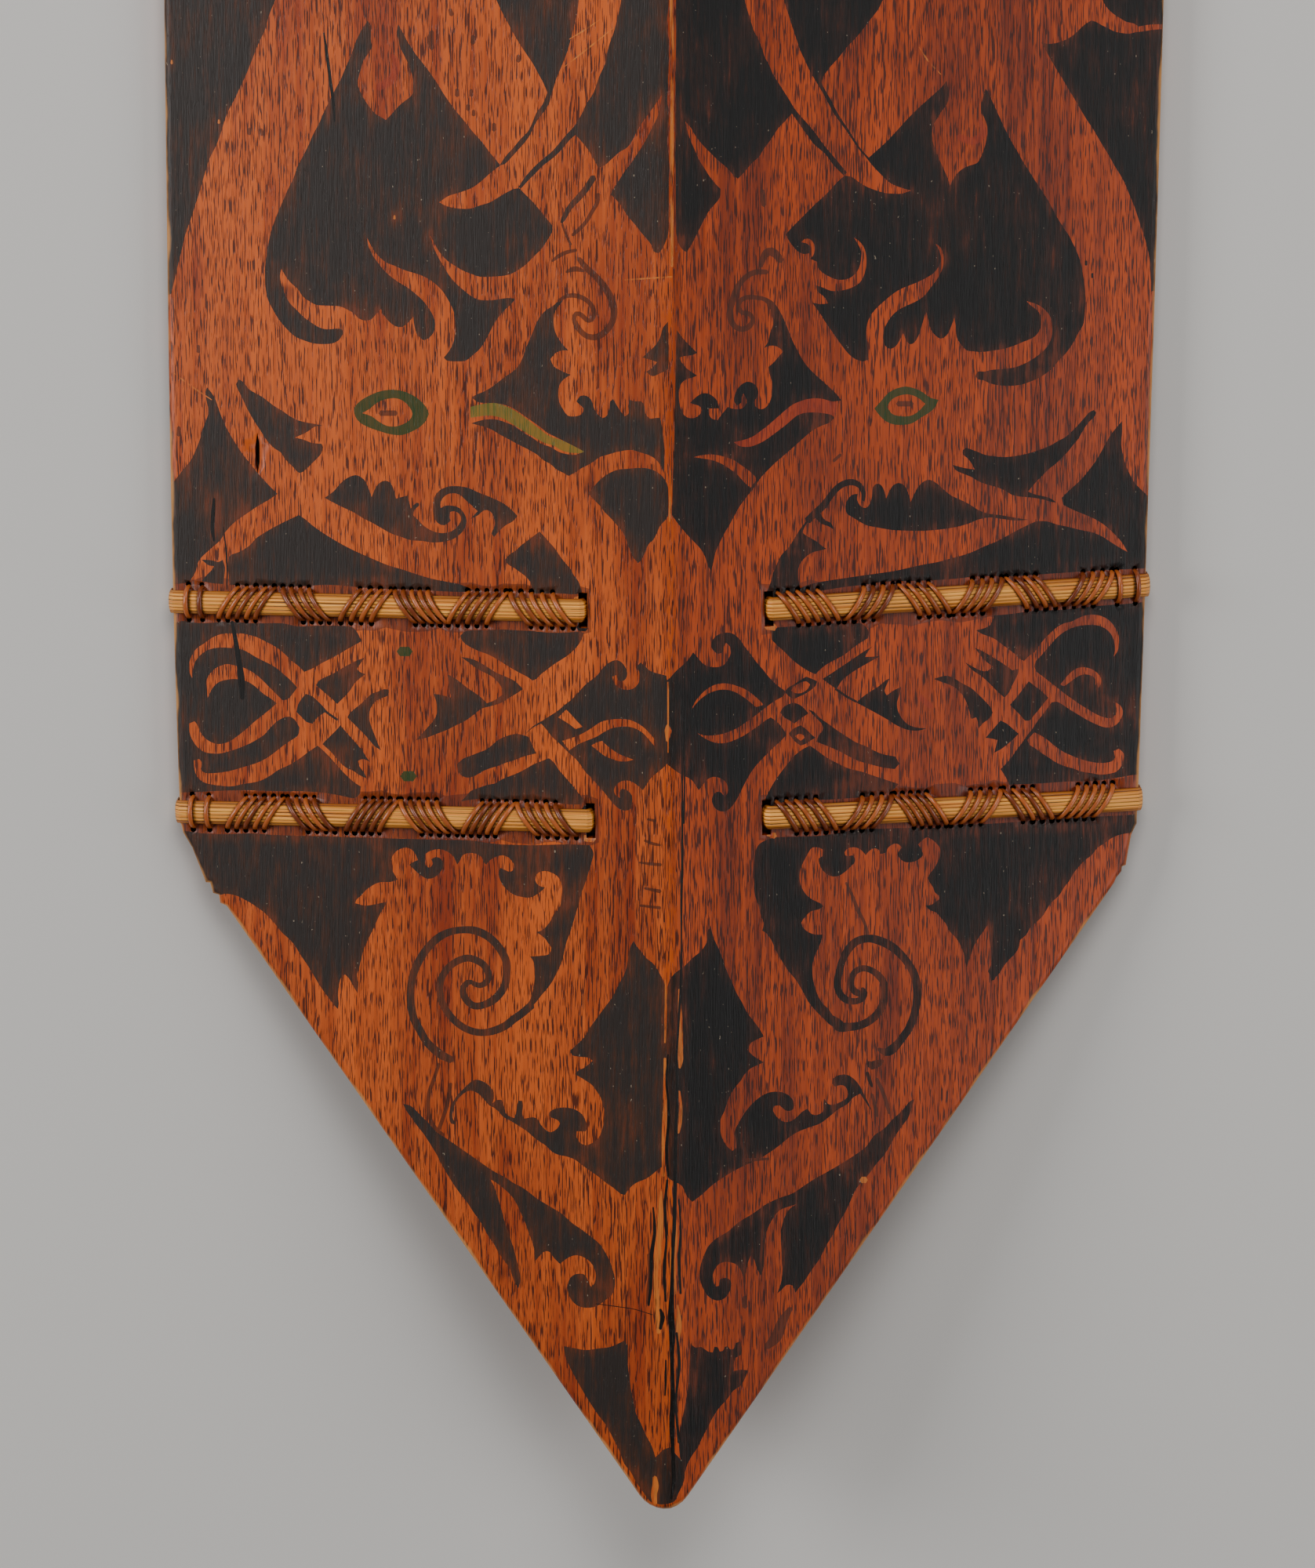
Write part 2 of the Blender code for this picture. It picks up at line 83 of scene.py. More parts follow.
@dataclass(frozen=True)
class Cane:
    """Sizes of a split cane, as in the CAD part.

    Attributes:
        width: Across the band.
        front, rim, back, leg: Thickness before, beside and behind the board, and in the slot.
        leg_depth: How far an end reaches into the slot.
        gap, rim_gap: Clearance to the board's faces and to its side edge.
    """

    width: float = 0.0090
    front: float = 0.0032
    rim: float = 0.0014
    back: float = 0.0022
    leg: float = 0.0026
    leg_depth: float = 0.0036
    gap: float = 0.0003
    rim_gap: float = 0.0006


CANE = Cane()


@dataclass(frozen=True)
class Board:
    """The board's own sizes, as in the CAD part.

    Attributes:
        middle_left, middle_right: Half widths at the middle of the length.
        shoulder_left, shoulder_right: Half widths at the shoulders.
        bow_left, bow_right: Powers of the two sides' slight bows.
        ridge_x: X of the ridge.
        rise: Fall of the front face from the ridge to the widest edge.
        edge, middle: Thickness at the side edge and at the ridge.
        crest_radius, gutter_radius: Rounding of the ridge before and behind.
    """

    length: float = 1.2532
    middle_left: float = 0.1897
    middle_right: float = 0.1907
    shoulder_left: float = 0.1868
    shoulder_right: float = 0.1831
    bow_left: float = 4.0
    bow_right: float = 1.2
    shoulder_y: float = 0.3705
    tip_radius: float = 0.0113
    ridge_x: float = 0.0027
    rise: float = 0.0549
    edge: float = 0.0080
    middle: float = 0.0130
    crest_radius: float = 0.0060
    gutter_radius: float = 0.0300

    def half_width(self, side: Side, y: np.ndarray | float) -> np.ndarray | float:
        """Half width of one side: it falls from the middle to the shoulder by a power of Y.

        Args:
            side: The wing.
            y: One Y or an array of them.

        Returns:
            The half width there.
        """
        left = side is Side.LEFT
        middle = self.middle_left if left else self.middle_right
        shoulder = self.shoulder_left if left else self.shoulder_right
        share = np.minimum(np.abs(y) / self.shoulder_y, 1.0)
        return middle + (shoulder - middle) * share ** (self.bow_left if left else self.bow_right)

    def span(self, side: Side) -> float:
        """Distance from the ridge to the widest edge of one wing."""
        half = self.middle_left if side is Side.LEFT else self.middle_right
        return half - side.value * self.ridge_x

    def slope(self, side: Side) -> float:
        """Fall of a wing's front face for each metre out."""
        return self.rise / self.span(side)

    def back_slope(self, side: Side) -> float:
        """Fall of a wing's back face for each metre out."""
        return (self.rise - self.middle + self.edge) / self.span(side)

    def reach(self, side: Side, y: float) -> float:
        """The farthest that a side's edge reaches out within the width of a cane at Y."""
        return max(float(self.half_width(side, y + step * CANE.width)) for step in (-0.5, 0.5))

    def edge_depth(self, side: Side, y: float) -> float:
        """Upright thickness at the side edge where a band crosses it at Y."""
        out = abs(side.value * self.reach(side, y) - self.ridge_x)
        return self.middle + (self.back_slope(side) - self.slope(side)) * out

    @property
    def peak(self) -> float:
        """Height of the ridge before its rounding, with the lowest fold of a cane on the floor.

        Returns:
            The rise less the lowest of the folds' heights over the widest edge.
        """
        drops = []
        for _, side, edge_y, _, _ in BANDS:
            angle = math.atan(self.slope(side))
            depth = self.edge_depth(side, edge_y)
            inwards = 0.2 * CANE.rim - depth * math.sin(angle)
            under = depth * math.cos(angle) + CANE.rim_gap + CANE.rim
            half = self.middle_left if side is Side.LEFT else self.middle_right
            rise = self.slope(side) * (half - self.reach(side, edge_y))
            drops.append(rise + inwards * math.sin(angle) - under * math.cos(angle))
        return self.rise - min(drops)

    def _roof(self, x: np.ndarray, apex: float, slopes: tuple, radius: float) -> np.ndarray:
        """Height of a roof-shaped profile: two falling lines joined by an arc that touches both.

        Args:
            x: Where it is wanted.
            apex: Height where the two lines would meet.
            slopes: Fall for each metre, left and right.
            radius: The arc's radius.

        Returns:
            The heights.
        """
        x = np.asarray(x, float)
        left, right = math.atan(slopes[0]), math.atan(slopes[1])
        tangent = radius * math.tan((left + right) / 2)
        start = np.array((self.ridge_x - tangent * math.cos(left), apex - tangent * math.sin(left)))
        centre = start + radius * np.array((math.sin(left), -math.cos(left)))
        end_x = centre[0] + radius * math.sin(right)
        out = np.abs(x - self.ridge_x)
        flat = apex - np.where(x < self.ridge_x, slopes[0], slopes[1]) * out
        arc = centre[1] + np.sqrt(np.maximum(radius**2 - (x - centre[0]) ** 2, 0.0))
        return np.where((x > start[0]) & (x < end_x), arc, flat)

    def front(self, x: np.ndarray) -> np.ndarray:
        """Height of the front face at X."""
        slopes = (self.slope(Side.LEFT), self.slope(Side.RIGHT))
        return self._roof(x, self.peak, slopes, self.crest_radius)

    def back(self, x: np.ndarray) -> np.ndarray:
        """Height of the back face at X."""
        slopes = (self.back_slope(Side.LEFT), self.back_slope(Side.RIGHT))
        return self._roof(x, self.peak - self.middle, slopes, self.gutter_radius)

    def sharp_front(self, x: float) -> float:
        """Height of the front face's plane at X, past the crest's rounding too."""
        side = Side.LEFT if x < self.ridge_x else Side.RIGHT
        return self.peak - self.slope(side) * abs(x - self.ridge_x)


BOARD = Board()

# Chips out of the lower shoulders, in mm: (in from the side edge, on past the shoulder)
LEFT_CHIPS = "0,-2.5 1,1.2 4.5,6.9 7.8,15.3 9.7,20.2 11.4,20.3 12.5,24.3 14.8,24.8 15.3,28 17.8,29"
RIGHT_CHIPS = "0,-8 .1,-2.7 2.2,1.6 3.4,8.1 4.2,13.4 5.7,14 5.9,15.8 7.9,18.1 8.8,20.1 10.4,22.5"

# Each band: name, side, Y at the edge, Y at the slot, slot's distance from the ridge
BANDS = (
    ("lower_left_inboard", Side.LEFT, -0.2816, -0.2798, 0.0321),
    ("lower_right_inboard", Side.RIGHT, -0.2751, -0.2794, 0.0360),
    ("lower_left_outboard", Side.LEFT, -0.3633, -0.3600, 0.0293),
    ("lower_right_outboard", Side.RIGHT, -0.3582, -0.3591, 0.0353),
    ("upper_left_inboard", Side.LEFT, 0.2790, 0.2800, 0.0321),
    ("upper_right_inboard", Side.RIGHT, 0.2790, 0.2800, 0.0360),
    ("upper_left_outboard", Side.LEFT, 0.3600, 0.3600, 0.0293),
    ("upper_right_outboard", Side.RIGHT, 0.3600, 0.3600, 0.0353),
)

# A slot's near wall before the band's end, its length and half its width
SLOT_WALL, SLOT_LENGTH, SLOT_HALF = 0.0029, 0.0035, 0.0067

# How far a leaning strand runs along the cane while it crosses over it, the distance that it
# crosses, and how far its holes are from the band's middle line
STRAND_RUN, STRAND_CROSSING, HOLE_OFFSET = 0.0080, 0.0120, 0.0068

# Groups of wraps in photo pixels by side and place: the picture's row that they were read on,
# then (first, last, lean, wraps); lean 1 runs up to the right
WRAPS = {
    (Side.LEFT, True): (775, (
        (238, 261, 0, 2), (283, 346, 1, 5), (366, 415, -1, 4), (439, 494, 1, 4),
        (509, 567, -1, 5), (576, 641, 1, 5), (656, 726, -1, 5),
    )),
    (Side.LEFT, False): (1040, (
        (243, 270, 0, 2), (294, 357, 1, 5), (372, 422, -1, 4), (446, 504, 1, 5),
        (517, 578, -1, 5), (595, 652, 1, 5), (665, 730, -1, 5),
    )),
    (Side.RIGHT, True): (775, (
        (997, 1064, -1, 5), (1081, 1134, 1, 4), (1151, 1205, -1, 4), (1220, 1273, 1, 4),
        (1288, 1341, -1, 4), (1361, 1414, 1, 4), (1421, 1450, 0, 2),
    )),
    (Side.RIGHT, False): (1040, (
        (995, 1061, -1, 5), (1079, 1132, 1, 4), (1145, 1202, -1, 5), (1217, 1271, 1, 4),
        (1284, 1337, -1, 4), (1354, 1414, 1, 5),
    )),
}

# Strands' trims of a group's two ends in photo pixels, when they lean and when they don't
LEANING_TRIM, UPRIGHT_TRIM = 8, 3

# Photo pixels between samples of a curve, how far a stroke's pointed end reaches past its
# last place in half widths, and metres between the outline's points
SAMPLE_PIXELS, STROKE_END, OUTLINE_STEP = 5.0, 0.7, 0.004

# Metres from a brush edge past which the paint wears alike
PAINT_REACH = 0.020

# The black shapes of the left wing, traced in photo pixels; * is a sharp corner.
BLACK_LEFT = """
190,-175 405,-175 385,-85 351,0 343,20 338,38 330,55 322,75 314,95 306,112 300,125 291,142 286,155 281,172 275,187 267,203 261,222 256,240 249,262 243,281 237,297 232,318 227,338 223,356 218,375* 205,380 190,380
469,26* 460,40 453,55 447,72 440,88 434,102 428,113 421,127 413,143 407,157 400,170 393,186 386,200 379,213 374,228 367,242 360,258 354,272 349,285 345,298 342,312 340,326 338,340 338,356 339,370 342,383 347,393 352,402 359,412 367,421 376,429 387,434 400,438 412,439 424,438 432,434 438,425* 436,420* 430,419 418,420 408,418 398,412 388,405 378,395 370,387 364,377 360,366 357,352 359,343* 364,352 371,361 380,369 386,378 394,384 404,389 420,390 434,391 447,397* 452,400 457,406 466,409 474,407 480,400 486,394* 489,401 496,410 504,416 513,417 521,411 527,404* 528,413 531,425 536,431 540,434 547,431 553,424 555,413 552,402 546,392 538,382 529,374 520,367 510,361 500,354 490,345 482,335 475,325 470,314 468,303* 472,311 478,321 485,329 493,335 503,339 512,343 520,346 534,350 545,355 555,362 564,371 570,380 576,391 580,403 581,417 580,430 576,442 571,450 566,456* 570,460 582,461 594,460 603,453 612,445 618,436 624,425 630,413 637,403 645,394 652,388 657,381* 648,380 640,381 625,383 610,382 600,377 590,369 580,360 572,350 566,340 560,330 555,320 551,310 548,300* 553,308 558,318 564,326 571,333 580,339 590,345 600,349 612,353 625,353 640,352 650,350 660,345 670,338 680,328 690,318 697,308 702,300 705,293 703,286 698,280 690,270 680,258 672,250 662,240* 655,241 645,246 635,252 625,258 612,262 600,266 585,266 570,263 560,258* 572,250 588,245 603,239 615,230 625,221 638,211* 632,203 625,195 620,188 612,178 603,168 595,158 587,148 580,140 573,130 566,120 560,110 552,98 545,88 538,79 530,69 525,61 520,54 514,42 508,31* 506,40 508,50 510,60 514,68 519,78 523,88 526,98 527,110 526,120 520,126 512,132 505,139 499,146 492,153* 487,150 480,146 474,140 468,132 463,124 459,116 456,106 458,96 461,86 463,78 467,72 471,66 474,60 473,50 473,40 472,32
578,-175 585,-120 603,-60 633,0 640,15 648,30 656,45 664,58 672,70 680,82 687,95 693,106 698,118* 692,133 684,144 679,156 673,168 664,177 655,188 645,199 637,211* 644,209 652,201 661,191 669,182 676,172 681,161 687,151 695,141 701,130 703,120 706,112 710,99 716,85 722,70 728,50 733,30 737,10 738,0 745,-80 748,-175
800,-175 798,-80 792,0 788,20 783,40 776,60 772,80 764,98 757,118 748,132 742,145 733,160 722,172 712,184 703,194 692,203 680,214 668,228 661,239* 665,240* 672,232 682,222 694,210 706,201 717,190 727,178 734,172* 742,181 750,191 757,203 763,214* 771,211 780,203 790,194 800,188 807,178 813,166 820,155 828,144 836,133 844,121* 842,134 838,150 832,162 827,172 820,185 812,197 805,208 797,218 790,229 784,238 779,248* 786,255 792,262 798,272 805,281 812,289 818,297 825,305 831,313 834,321 840,323* 845,317 849,308 852,299 853,280 853,240 853,200 851,180 853,150 851,128 852,100 853,60 851,30 853,0 853,-175
718,380* 712,384 704,391 697,395 690,402 684,412 680,422 676,432 671,443 667,455 662,465 655,473 645,480 637,486 628,493 618,499 608,503 601,507* 610,513 622,514 637,515 648,518 658,523 668,530 678,537 688,544 698,552 710,558 722,564 733,570 743,575* 735,580 722,579 712,576 702,570 690,566 680,559 668,552 655,543 643,538 632,535 620,535 610,537 601,540* 612,543 625,547 637,554 650,561 663,568 675,574 685,580 693,587 702,592 710,599 718,603 725,607* 733,603 742,597 750,593 758,588 765,583 775,580 785,577 795,575 806,574 816,577 826,580 835,585 842,593 847,604* 847,575 845,550 842,533* 836,533 829,534 823,527 822,518 818,512 810,512 803,510 801,518 802,527 797,531 791,524 786,516 782,509 778,512 777,522 774,530 768,533 761,527 757,519 754,510 748,505 740,505 735,512* 739,516 744,521 742,528 734,531 724,530 718,522 713,512 712,500 714,490 720,483 728,478* 720,475 712,471 706,467 702,458* 709,450 717,447 725,447* 719,441 713,433 708,423 706,411 707,400 711,392 717,385
750,629* 757,621 763,614 770,608 778,603 788,599 800,598 812,597 823,597 834,600 842,605 848,612 852,622 852,658 846,666 841,672 838,680* 833,689* 829,692 825,698 822,706 818,714 814,718* 808,712 804,703 800,693 797,684 792,676 786,669 778,660 770,652 765,645 758,638
852,410 845,419 842,430 836,440 828,448 819,456* 830,459 838,462* 832,469 824,474* 832,480 842,476 852,470
264,494* 269,500 275,510 279,522 286,540 294,555 302,568 310,580 319,591 331,606 342,618 354,630* 342,638 328,646 318,653 306,661 296,669 287,679* 281,689 271,698 262,706 256,712 252,719 250,728 245,737 240,743* 224,745 190,745 190,618 219,618* 228,606 236,596 244,586 250,573 255,560 259,546 264,533 266,524 263,510 262,500
257,714* 264,714 272,715 278,717 284,714 287,724 286,736 285,745* 272,744 257,741* 264,733 270,727 273,722 266,721
301,490 305,484 311,488 317,496 325,501 334,506 342,512 350,518 360,524 370,531 380,536 392,539 403,541 412,543* 402,544 396,548 388,553 376,558* 388,561 398,565 410,566* 412,570 410,578 405,584 398,591 392,597 386,602 381,603 375,597 370,592 363,585 358,577 350,572 343,565 337,557 332,549 326,540 320,530 314,519 309,508 305,500
381,657* 389,662 397,669 405,675 417,683 432,692 447,700 462,707 478,714 495,721 512,726 530,732 550,738 570,742 588,746 604,753* 590,755 560,754 520,752 470,750 420,746 380,748 340,747 293,746* 291,728 291,714 294,708 305,704 318,696 326,687 338,679 352,671 366,664
414,635* 425,627 432,619 438,613 446,608 454,606 461,609 466,614 470,623 474,634* 478,624 484,616 491,613 498,616 502,624 505,636* 512,634 520,632* 523,645 526,656 533,663 541,671 551,677 563,680 575,678 583,672 588,663 586,656 580,652 574,653 573,659 575,664 567,670 558,667 553,657 552,645 554,634 560,626 570,621 582,620 596,622 610,628 625,634 640,641 650,648 660,658* 654,665 645,670 637,677 630,685* 627,680 631,670 630,660 625,652 617,651 610,657 600,662* 609,652 603,646 594,638 586,631 577,629 568,632 562,640 562,648 568,645 577,645 586,648 592,655 595,664 592,675 586,682 577,688 566,691 552,692 538,690 524,689 512,685 500,681 487,674 475,667 463,661 450,653 437,647 425,641
688,678* 694,684 701,692 708,700 714,709 720,717 727,725 732,734 738,742 741,752 742,757* 730,758 715,757 700,757 688,757 680,757* 678,750 676,742 670,735 662,729 655,724 648,720 644,714* 650,707 658,702 664,696 672,690 680,684
190,795 222,795 232,792 258,795 290,793 322,795 360,795 380,799 410,798 445,799 453,803 458,811 461,818* 452,823 443,828 433,834 422,840 410,846 400,852 388,857* 380,849 372,843 365,836 357,829 348,823 338,818 328,813 318,810 308,808 298,808 288,808 278,810 268,815 260,821 252,826 247,832 243,840 241,848 241,856 245,865* 246,855 248,846 253,838 260,832 268,828 278,826 288,826 300,827 310,829 318,833 326,838 336,843 346,848 355,854 363,861 371,868 379,877* 374,884 367,892 360,893* 350,883 342,875 334,867 326,860 318,855 309,851 300,849 290,847 282,849 274,853 268,859 264,866 263,875 265,890* 269,881 274,874 281,869 289,867 298,866 308,867 317,870 326,876 336,885 344,890 353,897* 344,905 334,913 324,921 314,930 304,938 292,946 280,949 270,947 261,941 255,933 252,925 248,920 241,923* 242,935 246,945 252,953 260,959 270,961 281,961 293,958 305,954 317,949 328,943 337,937 344,929 352,921 360,916 369,914 376,918 382,928* 380,938 370,945 360,952 350,960 340,967 328,973 315,977 302,981 290,984 275,986 262,986 256,981 258,974 254,968 247,970* 248,981 251,990 258,997 267,1000 280,1002 295,1003 310,1000 323,998 334,995 345,989 355,982 368,976 380,969 392,960 405,951* 412,957 420,965 428,974 436,983 444,991 452,998 460,1003* 459,1012 452,1018 440,1016 425,1013 400,1010 350,1009 300,1008 255,1010 228,1011 190,1011
390,885* 398,888 405,894 411,900 417,907* 409,912 403,917 399,923* 391,921 385,915 378,908* 380,899 384,892
403,874* 407,868 414,864 423,860 432,855 440,850 448,846 456,842 465,839* 460,846 455,853* 459,857 466,860* 458,866 452,872 447,880 441,887 435,893 430,898* 424,892 417,886 410,880
443,915* 445,911 450,906 456,901 462,896 468,890 474,885 482,882 490,879 496,880 495,887 488,890 481,893 476,898 472,905 471,915 473,925 476,933 480,943 483,951 486,957* 478,952 472,945 466,938 459,931 452,924 446,918
434,925* 440,932 448,941 456,950 462,957 466,964 472,972* 463,968 456,971* 458,977 464,985 468,993* 459,989 450,983 441,979 434,973 428,966 421,958 411,949* 417,943 424,936 430,930
587,811* 592,806 600,804 620,804 640,803 660,804 680,805 700,807 720,807 735,806 745,807* 742,815 738,822 732,829 724,836 715,842 707,847 699,853 690,860 684,866 679,868* 672,863 664,859 655,854 645,848 634,841 623,835 612,831 601,826 593,821 588,815
588,838* 600,840 612,845 622,851 633,858 645,863 657,869 667,879* 658,885 648,891 638,897 625,901 614,904 605,911 594,919 582,925 570,931 557,936 544,941 530,944* 538,936 546,927 553,919 557,910 557,898 553,885* 561,886 569,888 576,890* 573,880 572,871 571,860* 580,865 588,871 597,878 606,884 614,890 621,897* 631,893 641,886* 640,878 634,869 626,862 616,857 607,852 599,846
583,975* 590,968 600,964 610,960 620,956 628,950 635,944 643,940 652,937 660,936 668,938 674,940 677,946 680,953 684,961* 675,963 665,966 655,970 645,973 635,977 625,980 615,984 607,989 597,992 590,990 585,985
700,967* 707,973 712,981 718,988 725,996 732,1004 738,1012 744,1020 742,1026* 725,1026 705,1023 685,1021 660,1021 635,1020 610,1019 588,1022* 595,1015 600,1009 610,1005 622,1001 632,999 640,994 650,990 660,986 670,981 680,975 690,971
720,899* 728,893 736,885 742,878 748,872 756,866 762,861 768,853 774,847 781,843 787,842 793,845 798,852 800,859 798,866 793,869 788,867 786,861* 781,863 783,871 789,877 798,880 808,878 815,870 816,860 812,850* 817,845 823,850 828,855 835,858 843,860 850,862* 850,975* 845,980 840,984 834,989 829,994 825,1000 820,1008* 812,1001 803,996 794,996 787,1000 783,1007 785,1014 791,1018 790,1011 793,1006* 800,1008 806,1015 806,1025 804,1032 797,1034 790,1032 783,1026 777,1019 770,1010 762,1001 754,992 746,984 740,975 733,967 725,960 718,953 711,946 704,940 698,932 693,926 690,923 680,928 668,938* 680,926 692,919 703,912 712,906
200,1060 235,1060 260,1063 290,1064 320,1063 350,1065 380,1066 420,1067 450,1068 480,1069 520,1070 560,1071 600,1072 620,1075 640,1077 680,1078 720,1077 752,1078* 756,1085 757,1090 755,1098 752,1108 749,1118 745,1130 741,1140 739,1150 736,1160 733,1170 730,1180 727,1190 723,1200 720,1212 717,1225 713,1235 708,1245 703,1254 697,1262 690,1270 684,1278 676,1286* 670,1284* 673,1280 677,1273 679,1265 681,1255 682,1245 682,1235 680,1226 676,1220* 690,1219 700,1217 703,1209 699,1203 695,1197 690,1193 684,1189* 692,1186 698,1180 703,1173 706,1166 712,1160 715,1153 716,1143 717,1133 715,1124 710,1117 703,1113 695,1111 687,1113 682,1119 684,1126 688,1130 695,1132* 690,1137 683,1142 675,1145 665,1144 655,1141 648,1136 642,1130 638,1123 636,1115 638,1107* 645,1110 650,1112 655,1109 655,1102 649,1094 641,1091 632,1093 624,1098 620,1103* 617,1100 614,1093 607,1089 598,1088 590,1091 587,1097 583,1103* 581,1098 578,1092 570,1086 560,1083 550,1085 543,1089 542,1096 543,1104 548,1107 552,1102 550,1096* 556,1093 563,1096 566,1104 561,1113 554,1119 545,1121 536,1116 528,1109 522,1103* 526,1100 533,1097* 529,1088 524,1083 517,1081 510,1083 504,1087 500,1093 498,1100 499,1108 503,1115 507,1122* 498,1125 490,1125 482,1126 474,1130 466,1136 460,1143 455,1147 453,1152* 465,1155 475,1154 485,1152 494,1150* 490,1157 485,1165 480,1176 475,1187 470,1197 465,1208 461,1222 458,1235 455,1245 457,1255 456,1267* 450,1257 445,1248 440,1243 435,1247 432,1258 431,1270 432,1280 431,1287* 426,1282 420,1274 414,1266 407,1256 400,1244 394,1234 388,1225 382,1216 376,1206 368,1197 360,1190 352,1180 345,1172 337,1164 329,1158 320,1152 311,1147 303,1143 295,1141 287,1140 280,1142 240,1150 200,1130
808,1200* 803,1210 801,1222 799,1235 795,1245 790,1254 786,1262 781,1272 775,1280 769,1288 763,1296 758,1303 752,1311 745,1323 735,1333 727,1340* 730,1346 740,1348 750,1349 756,1353* 750,1358 745,1362 738,1365 733,1370* 740,1374 748,1379 755,1384 761,1392 766,1400 769,1410 771,1420 770,1432 767,1443 763,1452 755,1458 748,1461* 740,1458 735,1450 735,1443 747,1443* 749,1437 747,1430 743,1422 735,1416 725,1413 713,1413 704,1416 700,1420 702,1425 710,1428 714,1433 710,1440 703,1444 697,1442 690,1435 686,1428 680,1425 668,1427* 666,1420 667,1410 666,1404 661,1404 659,1412 658,1420 656,1426* 650,1424 645,1420 643,1412 640,1403 634,1403 628,1407* 630,1398 628,1390 623,1384 615,1379 606,1377 598,1382 590,1390 583,1397 578,1405 574,1415 573,1425 575,1433 582,1434* 577,1425 579,1412 584,1402 591,1395 600,1391 610,1395 617,1402 624,1410 630,1413 636,1418 641,1424 648,1428 655,1432 663,1437 672,1443 680,1450 688,1456 697,1462 704,1469 712,1473 722,1475 733,1479 742,1486 752,1493 762,1500 772,1508 782,1515 792,1523 797,1524* 802,1517 808,1511 815,1507 823,1504 832,1498 841,1490 848,1486 850,1440 851,1350 851,1270 847,1253 843,1245 838,1236 832,1228 824,1222 818,1214 812,1207
514,1408* 523,1410 530,1416 538,1424 546,1432 555,1441 565,1449 575,1456 585,1463 595,1470 605,1477 615,1484 625,1491 635,1497 645,1502 655,1509 665,1514 675,1521 685,1529 695,1535 705,1541 715,1547 723,1554 731,1561 740,1567 748,1573 757,1580 765,1587 771,1596 777,1607 781,1618 784,1630 784,1641 780,1652 771,1659 763,1665 753,1668 740,1667 731,1661 727,1655 724,1647 724,1638 728,1629 735,1625 744,1625 749,1631 751,1638 754,1641* 758,1637 760,1628 758,1618 753,1610 745,1604 735,1601 725,1604 714,1612* 706,1604 701,1597 695,1596 690,1600 683,1608* 682,1603 681,1593 678,1582 674,1572 670,1560 665,1549 660,1538 655,1529 648,1521 640,1514 632,1508 625,1504* 631,1515 635,1528 639,1541 643,1556 648,1570 652,1583 656,1595 659,1608 662,1620 664,1632 661,1643* 657,1637 653,1627 650,1618 643,1608 636,1598 630,1587 623,1577 617,1566 611,1556 603,1545 596,1534 588,1524 580,1513 573,1502 567,1492 562,1483 557,1473 551,1463 546,1455 540,1446 532,1436 525,1426 519,1418
719,1717* 735,1720 747,1722 763,1720 778,1718 790,1713 796,1710* 801,1717* 800,1728 801,1744 803,1759 805,1774 808,1787 811,1803 817,1815 824,1831 831,1844 836,1859* 840,1855 846,1849 855,1846* 862,1855 868,1862 873,1872 873,1885 870,1895 865,1905 860,1915 845,1919 832,1917 827,1913 820,1903 811,1890 804,1877 796,1867 790,1851 781,1833 773,1818 763,1805 753,1790 742,1772 732,1754 724,1738 720,1726
"""

